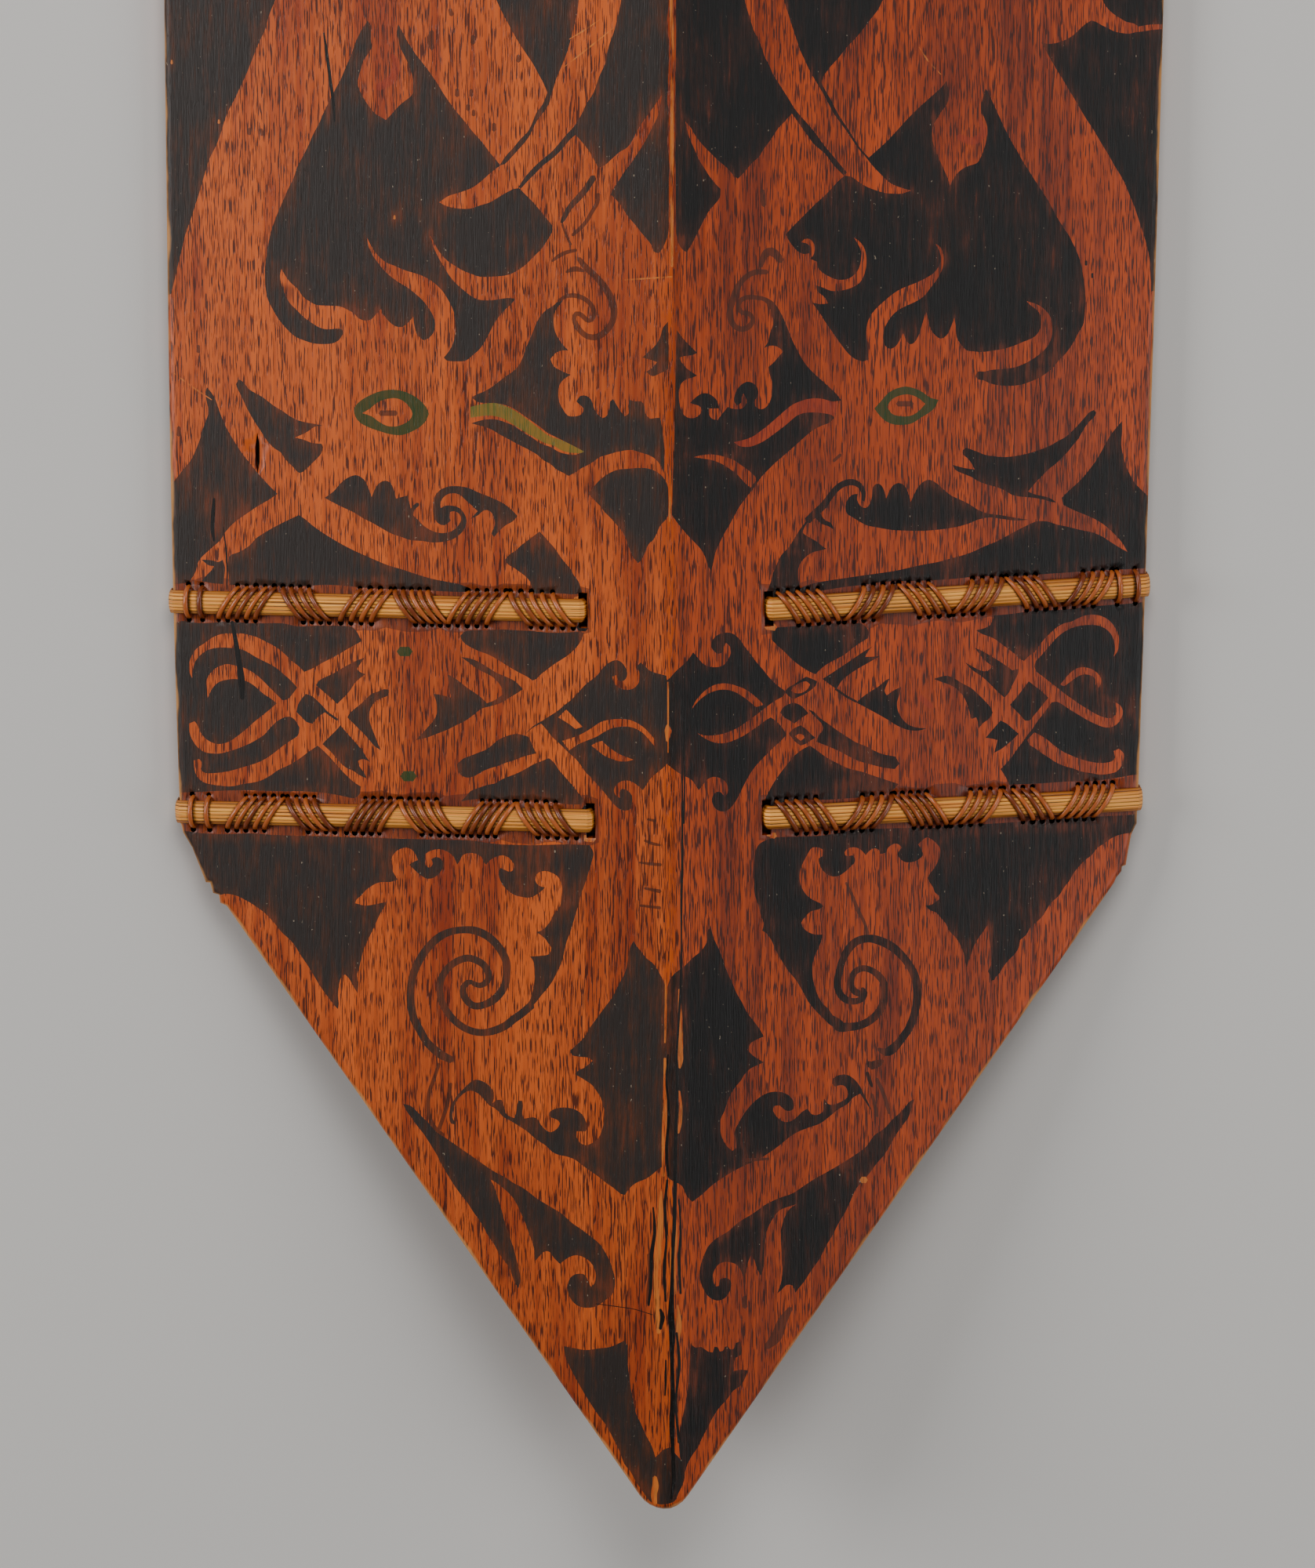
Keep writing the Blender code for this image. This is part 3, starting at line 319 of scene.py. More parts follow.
# The black shapes of the right wing
BLACK_RIGHT = """
1358,-175 1365,-120 1378,-70 1392,-30 1406,0 1411,9 1419,17 1428,23 1437,28 1446,30 1452,34* 1462,32 1474,31 1510,31 1510,-175
1328,54* 1336,56 1346,55 1356,52 1364,48 1371,43 1378,36 1385,30 1392,26* 1398,28 1405,32 1413,36 1421,40 1430,42 1440,43 1448,41* 1458,40 1470,38 1510,36 1510,360 1468,372* 1468,360 1467,345 1466,332 1464,320 1461,308 1458,298 1454,286 1450,274 1446,262 1441,250 1437,240 1434,233 1428,222 1421,211 1414,198 1407,187 1400,175 1393,163 1386,153 1380,143 1373,131 1367,121 1361,111 1354,99 1347,88 1340,76 1334,65
862,-175 862,60 870,30 868,0 868,-175*
868,-175 868,0 870,30 862,60 862,295 864,305 866,312 870,318 876,322* 878,318 883,310 888,300 893,290 898,280 905,268 912,260 918,252 919,241* 912,234 905,225 898,214 891,203 886,191 881,180 877,168 874,155* 881,163 886,172 892,180 898,187 906,195 913,202 921,209 928,215 935,223 941,228* 947,222 953,215 960,207 968,200 974,190 981,181 987,172 993,163 1000,156 1005,150 1010,145* 1015,152 1022,162 1030,173 1037,183 1045,190 1053,197 1060,207 1068,216 1076,224* 1080,220 1070,208 1060,196 1050,184 1040,170 1030,158 1021,148 1013,138 1007,128 1000,117 993,106 986,95 981,83 975,72 972,62 967,50 961,38 957,25 953,12 950,0 945,-80 943,-175
985,-175 990,-80 1000,0 1005,17 1010,33 1015,48 1020,63 1025,74 1030,85 1037,98 1043,108 1050,120 1057,133 1064,146 1072,157 1080,168 1088,180 1095,190 1103,199 1108,201* 1098,190 1090,178 1082,165 1073,152 1066,140 1060,128 1053,116 1048,105 1050,97* 1060,84 1070,73 1080,60 1090,50 1100,38 1110,25 1120,12 1126,0 1165,-60 1190,-120 1200,-175
1207,103* 1200,112 1190,121 1180,130 1170,139 1158,151 1147,163 1137,174 1127,184 1117,193 1108,201* 1103,199 1110,208 1117,216 1125,224 1132,231 1140,236 1151,240 1162,243* 1150,247 1140,247 1128,246 1115,242 1105,238 1095,232 1087,226 1077,224* 1068,232 1060,241 1050,251 1040,260 1030,270 1020,280 1010,290 1002,299* 1006,307 1012,315 1018,321 1025,324 1032,323* 1033,316 1030,311 1022,309* 1026,305 1033,305 1038,311 1039,319 1037,326 1033,330* 1042,334* 1043,341 1048,347 1056,352 1065,356 1074,357 1083,355 1090,350 1095,343 1098,332 1098,320 1094,311 1089,303* 1095,307 1101,314 1104,323 1105,333 1104,343 1101,353 1096,361 1088,366 1080,369 1070,371 1060,371 1050,367 1041,364* 1042,371 1048,376 1053,381 1056,387* 1047,388 1036,386* 1040,392 1046,400 1052,410 1059,420 1066,430 1073,440 1080,449 1086,455 1093,459 1101,461 1108,458* 1106,445 1105,432 1105,420 1107,410 1112,400 1120,391 1130,382 1140,374 1150,368 1160,364 1170,360 1182,354 1191,348 1197,340 1200,330 1198,320 1193,311* 1199,315 1203,325 1203,338 1199,349 1193,359 1186,368 1179,377 1169,384 1158,389 1148,394 1140,400 1133,409 1128,419 1126,431 1129,441 1135,445 1142,442 1148,433 1152,424* 1155,433 1160,439 1166,437 1171,429 1175,417 1178,407 1181,397* 1184,409 1187,420 1193,428 1200,432 1207,428 1212,419 1217,405* 1219,418 1220,430 1226,440 1233,447 1240,448 1252,449 1268,447 1280,445 1293,441 1305,436 1315,432 1322,427 1327,418 1328,410 1327,402 1322,395 1315,390 1309,384* 1322,388 1330,393 1337,400 1341,408 1342,420 1341,430 1337,440 1330,448 1320,456 1308,463 1296,468 1285,470 1273,471 1263,472 1255,474 1247,474 1244,480* 1247,484 1254,485 1260,488 1270,491 1281,492 1293,492 1305,490 1316,486 1325,482 1333,477 1343,469 1350,460 1358,452 1365,443 1370,435 1375,425 1381,415 1383,405 1384,390 1384,375 1383,362 1381,350 1379,338 1376,328 1372,318 1368,310 1363,300 1358,293 1353,285 1348,277 1343,268 1338,258 1331,247 1325,238 1318,227 1311,216 1304,205 1298,194 1292,184 1286,173 1281,163 1275,150 1270,139 1265,128 1261,119 1257,113* 1255,118 1253,127 1251,135 1252,143 1255,150 1258,158 1260,168 1258,178 1255,190 1251,200 1246,208 1237,211 1228,215 1220,222 1215,230 1211,238* 1209,228 1205,219 1201,210 1196,199 1192,189 1189,178 1189,167 1191,158 1196,150 1200,143 1204,138 1208,132 1210,122 1209,112
955,377* 967,377 978,380 987,386 994,396 1000,408 1005,420 1010,433 1016,445 1023,458 1031,469 1040,478 1050,487 1060,496 1068,504 1073,511* 1060,512 1050,509 1040,508 1030,509 1020,512 1011,516 1003,522 995,529 987,536 979,543 971,549 963,555 955,559 945,562 936,564* 943,569 955,570 965,567 975,562 985,555 993,549 1001,543 1008,537 1015,531 1024,527 1037,526 1050,527 1060,529 1064,533* 1058,539 1048,543 1038,548 1029,555 1020,563 1010,572 1003,578 996,584 989,590 982,597 975,604 969,611 963,620 956,629 949,638 942,648 936,659 930,670 924,680 918,692 913,703 910,716 907,729* 902,720 899,710 894,701 887,693 880,686 872,677 864,667 857,657* 858,610 860,560 861,500 862,440 863,421* 869,429 875,436 882,443 889,450* 883,453 874,454 866,456* 870,463 876,470 883,475 889,479* 882,482 875,484 869,489 866,497 866,510 868,521 872,529 878,533 886,533 892,529 895,523 892,518 886,516 880,514* 887,507 895,502 903,502 910,506 915,512 917,521* 911,521 904,521* 904,528 908,534 915,536* 920,529 925,523 928,519* 933,521 941,522 948,520 952,514 951,507 948,502* 946,507 945,514 940,517* 936,512 937,504 940,497 945,491 952,487 959,488 965,493 967,500 965,507 961,513* 964,519 970,522 976,520 981,514 984,505 985,495 984,485 981,476 980,468* 986,463 992,456 999,448* 991,442 982,441 974,444* 979,437 981,429 983,421* 986,414 985,403 981,392 975,385 965,381*
1034,661 1028,669 1023,679* 1028,683 1035,687 1042,691 1048,696 1054,700* 1047,702 1038,704 1032,707 1026,712 1021,718 1018,726 1018,735 1019,745 1020,757* 977,757* 980,750 983,742 985,733 989,724 993,714 998,706 1005,699 1011,690 1016,682 1021,674 1028,665 1035,657
1034,660* 1043,649 1048,658 1053,664 1060,667 1064,676* 1056,671 1047,668 1040,661
1080,655 1078,646 1081,637 1087,631 1094,630* 1093,637 1097,645 1104,648 1109,643 1112,633 1113,622 1118,617 1124,619 1128,627 1130,636* 1134,627 1139,619 1146,616 1153,619 1158,628 1161,641* 1166,630 1171,621 1178,614 1186,612 1194,616 1203,624 1213,632 1224,637 1236,643 1247,650 1260,655 1276,657 1293,660 1312,663* 1295,664 1278,662 1262,660 1247,663 1235,668 1220,672 1202,675 1180,677 1158,677 1138,676 1120,673 1105,670 1094,664 1086,659
1431,537* 1424,545 1417,554 1411,564 1405,575 1398,587 1390,598 1382,608 1372,618 1362,627 1354,635* 1356,644* 1370,651 1385,657 1398,663 1410,671 1420,680 1430,691 1438,704* 1427,698 1416,691 1405,684 1393,679 1378,676 1362,672 1348,669 1335,665 1322,665 1310,670 1298,676 1285,683 1270,691 1255,697 1240,704 1225,709 1210,713 1195,717 1178,720 1160,724 1142,728 1122,731 1100,734 1080,737 1060,740 1042,743 1028,747 1017,752* 1019,757* 1030,756 1050,753 1075,749 1100,746 1130,742 1160,741 1190,740 1220,738 1250,735 1290,735 1320,733 1350,731 1380,729 1410,727 1440,726 1462,725 1500,725 1500,632 1463,632* 1455,624 1447,616 1441,605 1436,594 1432,580 1430,566 1431,551
1395,523* 1398,526 1396,531 1390,537 1385,543 1380,551 1375,560 1369,567 1362,576 1355,583 1347,591 1338,598 1330,606 1322,614 1316,621 1311,627* 1318,630 1326,632 1335,634 1342,637 1347,641* 1340,640 1330,637 1318,635 1308,634 1298,633 1290,631 1284,627 1278,624 1270,621 1262,619 1253,616 1246,613 1240,609 1233,606 1225,603 1218,599 1215,593* 1222,595 1230,597 1243,599* 1240,593 1236,587 1232,583 1228,580 1228,574 1232,571* 1238,573 1246,576 1256,580 1268,582 1280,583 1292,582 1304,580 1316,577 1328,573 1340,568 1350,562 1358,558 1366,551 1374,543 1382,534 1389,526
983,801* 1010,799 1040,798 1062,795 1098,795* 1104,799 1108,806 1107,814* 1097,820 1087,827 1077,835 1066,841 1055,847 1047,853 1040,860* 1031,856 1020,849 1010,841 1001,832 992,824 984,816*
850,868* 855,864 862,856 870,849 878,841 884,832* 890,839 896,846 903,850 913,851 922,849 928,842 932,833 931,825 926,820* 923,825 922,831 916,834 910,830 907,824 909,816 915,810 924,807 934,808 943,815 950,825 957,834 965,845 973,854 981,864 990,873 1001,881* 1000,887 990,893 981,899 972,906 963,913 953,920 943,927 933,932 922,936 910,938 898,938 889,935* 896,940 905,945 916,948 928,947 939,943 949,938 958,932 967,926 976,919 983,915* 990,920 997,927 1003,937* 996,945 988,952 980,960 971,969 963,978 956,988 950,999 945,1009 940,1019 934,1028 927,1034 919,1035 912,1031 908,1023 909,1015 914,1010 920,1011 924,1017* 928,1011 928,1003 924,996 917,992 909,991 901,995 896,1002 891,1008* 886,1000 881,994 873,990 864,985 856,979 850,974*
1028,863* 1036,866 1042,869* 1040,875 1033,881 1025,886 1018,889 1012,892* 1006,888 1001,883* 1004,878 1012,873 1020,868
995,909* 998,903 1004,899 1012,896* 1020,899 1026,904 1031,910* 1025,914 1019,918 1013,923* 1007,919 1000,915
1021,925* 1028,930 1035,937 1040,941* 1033,945 1027,949 1021,951* 1014,946 1009,940 1006,936* 1011,930
1031,905* 1038,908 1046,916 1056,923 1067,931 1079,939 1092,947 1105,952 1114,957 1126,962 1142,965* 1147,974* 1141,981* 1126,979 1110,975 1096,971 1083,965 1070,958 1056,952 1041,946* 1044,938 1049,932 1049,925 1044,919 1037,912
1049,866* 1060,859 1072,851 1084,843 1097,834 1113,824* 1107,831 1103,838 1122,837* 1108,845 1094,853 1082,861 1073,869 1067,879* 1058,873
1092,896* 1100,889 1110,882 1121,875 1129,868 1135,865* 1131,873 1128,881 1131,887* 1139,881 1149,876* 1147,886 1144,896 1145,906 1150,916 1158,924 1169,928 1182,929* 1171,932 1158,931 1145,926 1132,918 1118,910 1105,903
1033,951* 1043,958 1054,966 1067,973 1082,980 1098,984 1113,989 1128,994 1146,1000* 1138,1008 1128,1013 1112,1016 1085,1018 1055,1020 1025,1020 1000,1023 973,1030* 977,1017 984,1003 993,989 1003,976 1013,964 1023,956
1268,785* 1290,783 1320,779 1350,778 1380,775 1410,772 1440,770 1460,768 1490,768 1490,988 1452,988 1425,992 1395,996 1360,997 1330,999 1287,1001* 1283,992 1276,981* 1283,974 1290,966 1296,957 1303,948 1310,938 1317,929 1323,920 1330,911 1336,903 1341,896* 1348,895 1357,900 1366,906 1376,912 1386,918 1396,923 1406,927 1415,928 1424,924 1430,916 1432,907 1428,899 1420,895* 1424,903 1423,911 1417,916 1408,915 1398,911 1388,905 1378,899 1368,892 1358,885 1348,877 1339,870 1330,863 1322,857* 1319,850 1321,843* 1327,837 1333,830 1340,822 1348,813 1357,806 1367,801 1378,798 1390,797 1401,798 1410,802 1417,809 1421,819 1422,829 1420,838* 1425,831 1427,820 1426,809 1421,799 1414,791 1405,786 1395,784 1384,785 1374,789 1366,793 1357,795 1348,800 1340,807 1332,815 1325,824 1319,832 1312,837 1306,843* 1300,840 1294,834 1286,828 1278,822 1270,816 1262,812 1253,809 1245,804* 1256,801 1263,797 1266,790
1243,826* 1254,831 1264,837 1274,843 1283,849 1291,855* 1299,853* 1298,860 1294,868 1290,876 1287,883 1281,890* 1273,883 1266,876 1259,869 1251,862 1243,857 1236,851 1231,845* 1240,850 1250,855 1259,856 1266,850* 1259,845 1252,838
1312,869* 1321,876 1330,883 1337,890* 1331,897 1325,905 1319,912 1313,919 1307,919* 1300,911 1293,904 1288,899* 1295,891 1303,881
1257,941* 1263,934 1269,927 1276,919* 1284,923 1291,929 1299,936* 1292,943 1284,950 1276,956 1268,960* 1270,952 1272,944* 1264,942
1191,866* 1200,863 1209,862 1218,866 1228,872 1239,878 1248,886 1256,894 1263,902 1266,909* 1261,917 1254,922 1248,929* 1247,921 1245,915 1239,917* 1236,907 1233,897 1227,886 1219,878 1210,873 1201,870
978,1071* 990,1068 1020,1067 1046,1066 1072,1062 1094,1058 1122,1057 1155,1056 1190,1056 1214,1053 1257,1051 1301,1048 1344,1045 1388,1042 1431,1040 1480,1036 1480,1062 1445,1062 1427,1065 1416,1070 1408,1076 1400,1081 1392,1091 1385,1096 1377,1104 1369,1114 1364,1123 1357,1132 1350,1143 1340,1152 1330,1168 1323,1175 1314,1183 1309,1192 1301,1199* 1299,1209 1294,1217 1286,1225 1279,1234 1275,1241 1270,1246 1268,1250* 1264,1251 1263,1244 1260,1239 1264,1231* 1264,1222 1264,1211 1262,1200 1261,1187 1260,1178* 1256,1185 1251,1192 1245,1201 1241,1209 1239,1216 1235,1226 1233,1234* 1231,1227 1230,1220 1227,1211 1223,1202 1218,1195 1211,1188 1206,1178 1200,1171 1194,1164 1186,1161 1180,1155* 1188,1154 1195,1149 1198,1147 1197,1142* 1192,1138 1190,1132 1186,1126 1183,1120* 1186,1114 1191,1108 1195,1101 1198,1093 1199,1084 1197,1079 1190,1072 1183,1068 1177,1071 1171,1077* 1174,1082 1177,1088 1177,1091 1173,1095 1166,1099 1157,1100 1151,1098 1146,1093 1145,1088 1150,1081 1146,1077 1141,1076 1135,1079 1132,1082 1130,1087 1126,1089* 1122,1089 1121,1084 1117,1082 1112,1083 1107,1087 1104,1091* 1101,1087 1098,1084 1092,1081 1085,1081 1080,1083 1077,1087 1078,1091 1082,1092 1087,1091 1090,1094 1090,1100 1085,1105 1079,1111 1070,1117 1062,1118 1056,1116 1049,1110 1045,1102 1044,1095 1049,1092 1050,1084 1044,1081 1036,1081 1032,1086 1028,1093 1023,1103 1020,1113 1020,1124 1024,1135 1029,1142 1037,1148 1046,1152 1050,1156* 1044,1160 1035,1162 1029,1167 1024,1173 1022,1177* 1024,1183 1031,1189 1040,1192 1049,1192* 1047,1201 1043,1211 1040,1217 1037,1226 1036,1237 1037,1250 1040,1261 1044,1272 1050,1281 1057,1287 1062,1295 1070,1299 1076,1304* 1074,1312* 1061,1309 1050,1299 1040,1289 1031,1278 1024,1265 1015,1250 1005,1238 996,1224 989,1211 983,1198 977,1190* 972,1187* 974,1178 970,1166 967,1154 963,1143 962,1128 962,1113 962,1100 963,1087 967,1078 972,1074
851,1259* 854,1250 861,1241 872,1233 883,1222 894,1213 901,1202 902,1191 906,1180* 910,1196 916,1209 922,1224 927,1239 934,1254 939,1266 946,1278 953,1292 961,1302 969,1313 974,1322* 965,1326 958,1330 953,1339* 961,1347 974,1355* 965,1359 957,1363 949,1371 945,1378 936,1389 929,1402 924,1417 919,1428 919,1443 922,1454 928,1463 934,1468* 939,1464* 938,1454 937,1443 941,1434 948,1422 958,1409 971,1398 983,1393 997,1393 1007,1398 1012,1405 1012,1414 1007,1417 1001,1416 994,1410 987,1411 986,1417 991,1425 1000,1431 1009,1430 1016,1425 1023,1418 1030,1414 1035,1421 1042,1422 1049,1418 1050,1408 1051,1401* 1056,1408 1063,1409 1075,1404 1081,1399 1081,1392 1078,1386 1072,1384 1065,1386* 1061,1382 1063,1375 1071,1371 1081,1371 1091,1378 1097,1386 1102,1396 1108,1408 1112,1418* 1104,1406 1097,1395 1088,1400 1081,1408 1069,1415 1058,1424 1046,1433 1032,1438 1017,1444 1006,1451 994,1461 980,1471 965,1480 951,1486 937,1493 922,1502 908,1512 896,1523 883,1533* 876,1526 870,1513 864,1509 851,1500 850,1440 851,1350
1166,1402* 1163,1411 1159,1424 1150,1437 1141,1450 1134,1463 1127,1474 1118,1484 1110,1495 1101,1506 1092,1516 1085,1531 1078,1546 1069,1561 1062,1575 1053,1590 1045,1606 1035,1620 1026,1634 1014,1649* 1011,1640 1003,1639 997,1645 991,1650* 996,1636 998,1621 998,1604 996,1587 996,1570 1000,1554 1007,1542 1016,1536* 1006,1539 994,1544 984,1557 978,1570 976,1584 975,1598 974,1616 970,1627* 965,1617 962,1607 958,1600 954,1610 952,1620 948,1629* 944,1619 939,1613 931,1610 922,1610 915,1614 910,1623 909,1633 913,1641* 917,1640 918,1632 926,1630 932,1634 932,1643 929,1650 924,1656 915,1659 905,1655 898,1646 893,1633 893,1616 898,1601 903,1590 913,1580 928,1571 942,1559 960,1548 977,1536 994,1528 1011,1522 1026,1512 1040,1503 1058,1493 1075,1483 1089,1474 1104,1463 1115,1448 1127,1440 1138,1428 1150,1417 1160,1405
882,1715* 887,1719 894,1718 903,1724* 909,1725 911,1718* 915,1718 918,1724 922,1723 924,1718* 928,1717 931,1721 936,1720 938,1713* 944,1711 946,1718 945,1728 938,1732 936,1740 935,1749* 945,1747 954,1748* 951,1756 945,1767 935,1774 927,1785 917,1796 909,1808 903,1820 896,1833 890,1846 883,1856 877,1867 873,1880 868,1862 866,1845 867,1826 869,1815 872,1800 875,1785 877,1769 878,1754 879,1741 880,1728
"""

# Bare patches within the black shapes
BLACK_HOLES = """
717,945* 730,941 742,936 754,929 766,921 778,918 790,917 802,918 812,922 821,928 829,936 835,944 836,953* 829,945 821,936 812,930 802,927 791,927 780,929 770,934 760,940 750,944 738,949 729,955 726,957*
754,951* 761,947 768,945* 774,951 782,957 790,962 800,966 808,969* 800,971 790,971 780,968 771,964 763,958
712,915* 722,905* 729,912 736,920 743,927* 734,930* 725,923
885,583* 898,580 912,580 925,583 936,587 946,594 956,601 963,608 964,613 957,622* 949,615 941,606 932,599 921,592 909,587 897,585
882,905* 886,896 892,888 899,881 908,875 918,872 929,872 940,875 950,879 959,885 967,892 974,899* 964,902* 956,895 948,889 938,883 928,880 917,880 907,883 898,888 889,896
1012,876* 1020,871 1028,869 1033,873 1030,879 1022,884 1014,884 1009,881
1014,939* 1019,936 1025,938 1026,941 1021,945* 1016,941
1352,873* 1358,866 1364,859 1372,853 1381,851 1391,853 1399,858 1404,865 1404,872 1401,877* 1397,873 1397,866 1392,862 1384,860 1376,862 1370,866 1363,871 1357,875
1319,934* 1327,938 1335,943 1342,949 1350,955 1358,960 1367,964 1377,968 1388,971 1399,973 1410,973 1418,971 1422,966 1420,958* 1427,955* 1433,961 1433,969 1430,977 1424,984 1414,987 1403,988 1391,986 1379,984 1368,980 1357,977 1346,972 1337,966 1329,961 1321,955 1313,950 1310,944*
"""

# The eyes' dark green rings, then what shows inside each ring
GREEN_EYES = """
452,520 460,511 472,504 485,499 500,497 514,499 526,504 536,511 544,520 547,528* 543,537 535,545 524,551 512,555 498,554 484,550 470,545 459,539 453,531
1115,521* 1124,511 1132,502 1142,496 1155,493 1168,496 1178,501 1186,507 1197,510* 1192,520 1184,527 1174,533 1163,540 1150,542 1138,541 1128,536 1120,528
"""
EYE_INNERS = """
462,527* 472,521 482,513 493,509 505,508 515,512 522,519 526,528 522,536 514,541 504,544 493,543 482,537 474,531
1131,519* 1137,510 1146,505 1158,503 1170,507 1180,515* 1172,524 1162,530 1150,531 1138,528
"""

# The tongue-like leaves beside the faces: greenish on the left, red on the right
OLIVE_LEAF = """
600,519 612,516 630,514 645,518 660,526 675,537 688,547 700,556 715,561 730,568 745,576* 740,578 725,577 715,574 705,568 695,565 680,557 665,548 652,540 640,533 625,530 612,531 600,533
"""
RED_LEAF = """
936,564* 945,562 955,559 963,555 971,549 979,543 987,536 995,529 1003,522 1011,516 1020,512 1030,509 1040,508 1050,509 1060,512 1068,514 1067,522 1064,530 1060,529 1050,527 1037,526 1024,527 1015,531 1008,537 1001,543 993,549 985,555 975,562 965,567 955,570 943,569
"""

# Brush strokes as centre lines with widths: x,y,width
BLACK_STROKES = """
576,1352,9 562,1345,11 545,1330,10 535,1313,10 528,1300,10 524,1280,10 524,1260,10 528,1240,10 537,1221,10 549,1205,10 562,1194,10 576,1188,9 591,1186,9 606,1187,10 620,1193,10 631,1202,10 640,1214,10 646,1228,10 646,1242,10 644,1256,10 637,1268,10 627,1277,10 616,1282,9 605,1283,9 596,1277,9 591,1268,9 591,1259,8 597,1253,7 603,1253,5
678,1282,10 665,1293,10 655,1300,10 645,1308,10 632,1314,10 618,1317,9 605,1316,9 592,1311,9 580,1302,9 570,1290,9 563,1276,9 561,1262,9 563,1248,9 571,1235,9 583,1226,9 596,1222,9 608,1225,9 618,1232,9 623,1243,9 621,1252,8 612,1257,7 603,1254,6
533,643,5 526,650,5 524,665,4 523,680,3
1030,664,9 1040,654,9 1050,645,9 1058,634,8 1066,624,8 1076,617,8 1087,615,8 1096,619,7 1101,628,6 1101,638,4
1158,1314,10 1164,1300,10 1168,1285,10 1170,1268,11 1168,1250,11 1162,1235,10 1151,1220,10 1138,1208,11 1122,1200,11 1107,1197,10 1092,1201,10 1081,1212,10 1074,1226,9 1070,1241,9 1068,1257,9 1072,1269,9 1081,1276,9 1092,1277,8 1100,1273,8 1103,1266,7 1099,1261,5
1066,1306,13 1072,1310,13 1081,1310,11 1096,1308,10 1109,1302,10 1119,1293,10 1126,1281,10 1128,1268,9 1127,1254,9 1121,1245,9 1112,1238,8 1101,1235,8 1091,1239,8 1086,1248,8 1086,1259,8 1091,1265,9 1098,1268,8
1158,1314,10 1152,1322,10 1146,1330,10 1137,1339,12 1129,1342,10 1120,1338,4
1107,1355,5 1112,1359,11 1120,1356,9 1126,1353,4
1106,1368,4 1109,1378,5 1112,1386,3
757,226,8 748,240,8 738,252,8 727,264,7 719,278,6 716,284,3
404,900,3 412,905,3 420,911,3 430,918,3
1066,879,3 1079,888,3 1092,895,3
"""
WASH_STROKES = """
763,247,4 762,258,5 755,270,5 748,282,5 738,293,5 730,300,4
717,286,3 722,300,3 728,312,3
704,333,3 712,327,5 722,322,5 735,319,4
738,330,6 748,342,8 760,353,8 770,365,9 779,380,9 783,395,9 781,410,8 772,423,8 760,430,8 747,428,7 737,418,7 732,407,6 735,400,6 742,402,6 748,408,6 754,408,6 758,400,6 754,389,6 745,381,6 733,377,6 722,378,5 712,384,4
560,1357,4 552,1380,5 547,1395,5 546,1412,5 549,1428,5 556,1440,5 566,1448,4
1079,1126,3 1088,1145,4 1093,1159,5 1102,1176,4 1107,1191,4
1118,1376,4 1125,1391,5 1130,1405,5 1134,1420,4
1112,1396,4 1116,1410,4 1119,1424,3
972,243,6 973,250,7 974,262,6
1063,588,4 1072,580,4
827,1600,4 829,1625,5 827,1645,5 826,1662,4
978,347,6 964,347,7 953,352,7 944,361,7 938,372,8 934,384,8 931,396,8 932,408,8 938,417,7 947,420,7 956,416,7 960,407,6 955,400,6 947,399,6 942,393,6 943,385,6 950,380,6 960,379,6 970,381,5
996,333,8 991,326,10 984,321,11 977,323,10 973,330,8 970,340,5
722,347,3 729,344,6 735,343,7 745,346,3
826,1045,3 836,1047,4
822,1072,3 832,1076,4 842,1078,3
815,1100,2 830,1102,4 843,1103,4
822,1133,3 842,1137,5
816,1155,3 842,1158,4
1008,1669,6 998,1685,12 990,1705,14 978,1718,8
948,1480,5 980,1478,3
575,1382,4 570,1410,5 560,1440,5
551,40,5 549,50,9 551,62,6
574,12,5 576,19,6
603,46,5 603,55,6
661,71,5 661,78,6
583,114,5 583,122,6
601,115,5 601,122,5
597,134,5 597,140,5
604,141,4 604,147,5
630,158,5 630,166,6
318,164,4 318,171,5
333,165,4 334,172,5
228,545,5 228,555,6
253,441,4 253,449,5
950,1654,5 950,1667,7
"""
GREEN_STROKES = """
510,831,12 522,831,12
515,990,13 527,990,13
"""
RED_STROKES = """
499,70,4 505,78,8 500,100,11 482,112,9
1250,153,4 1254,170,9 1240,180,10 1222,174,7
1173,889,7 1187,901,7
"""

# The long crack beside the crest and the lesser ones
CRACKS = """
873,860,2 873,900,2 872,960,2 873,1000,2 872,1050,3
869,900,1 870,1000,2 870,1100,3 869,1150,3 869,1200,2 868,1260,3 865,1310,3 863,1350,3 864,1400,3 862,1440,5 861,1500,5 860,1560,5 858,1600,4 857,1640,5 856,1675,8 857,1700,8 857,1740,5 858,1780,6 857,1820,7 858,1850,5 859,1890,5 856,1912,3
842,1670,3 845,1680,6 842,1695,4
852,1345,2 850,1380,3 853,1420,3 850,1465,4 852,1500,3
851,1505,3 848,1540,4 850,1580,3 847,1620,4 849,1660,3
833,1540,2 835,1570,4 831,1600,5 830,1640,4 827,1665,3
1385,333,3 1385,338,3
1393,349,3 1393,354,3
285,672,1 288,700,2 290,730,2 289,752,1
866,1530,2 868,1570,3 866,1610,4 868,1650,3
863,1700,3 866,1740,4 862,1790,3 866,1840,4
849,1735,2 849,1760,3 848,1780,2
413,42,2 417,70,4 421,100,4 425,130,4 427,155,2
273,636,3 272,650,5 271,675,5 273,690,3
296,793,4 301,820,6 305,845,7 308,870,9 309,891,5
738,800,9 747,801,9
745,1032,9 756,1032,9
978,761,10 988,761,10
974,1028,10 984,1028,10
760,1663,1 790,1667,1 809,1670,1 832,1677,1
"""
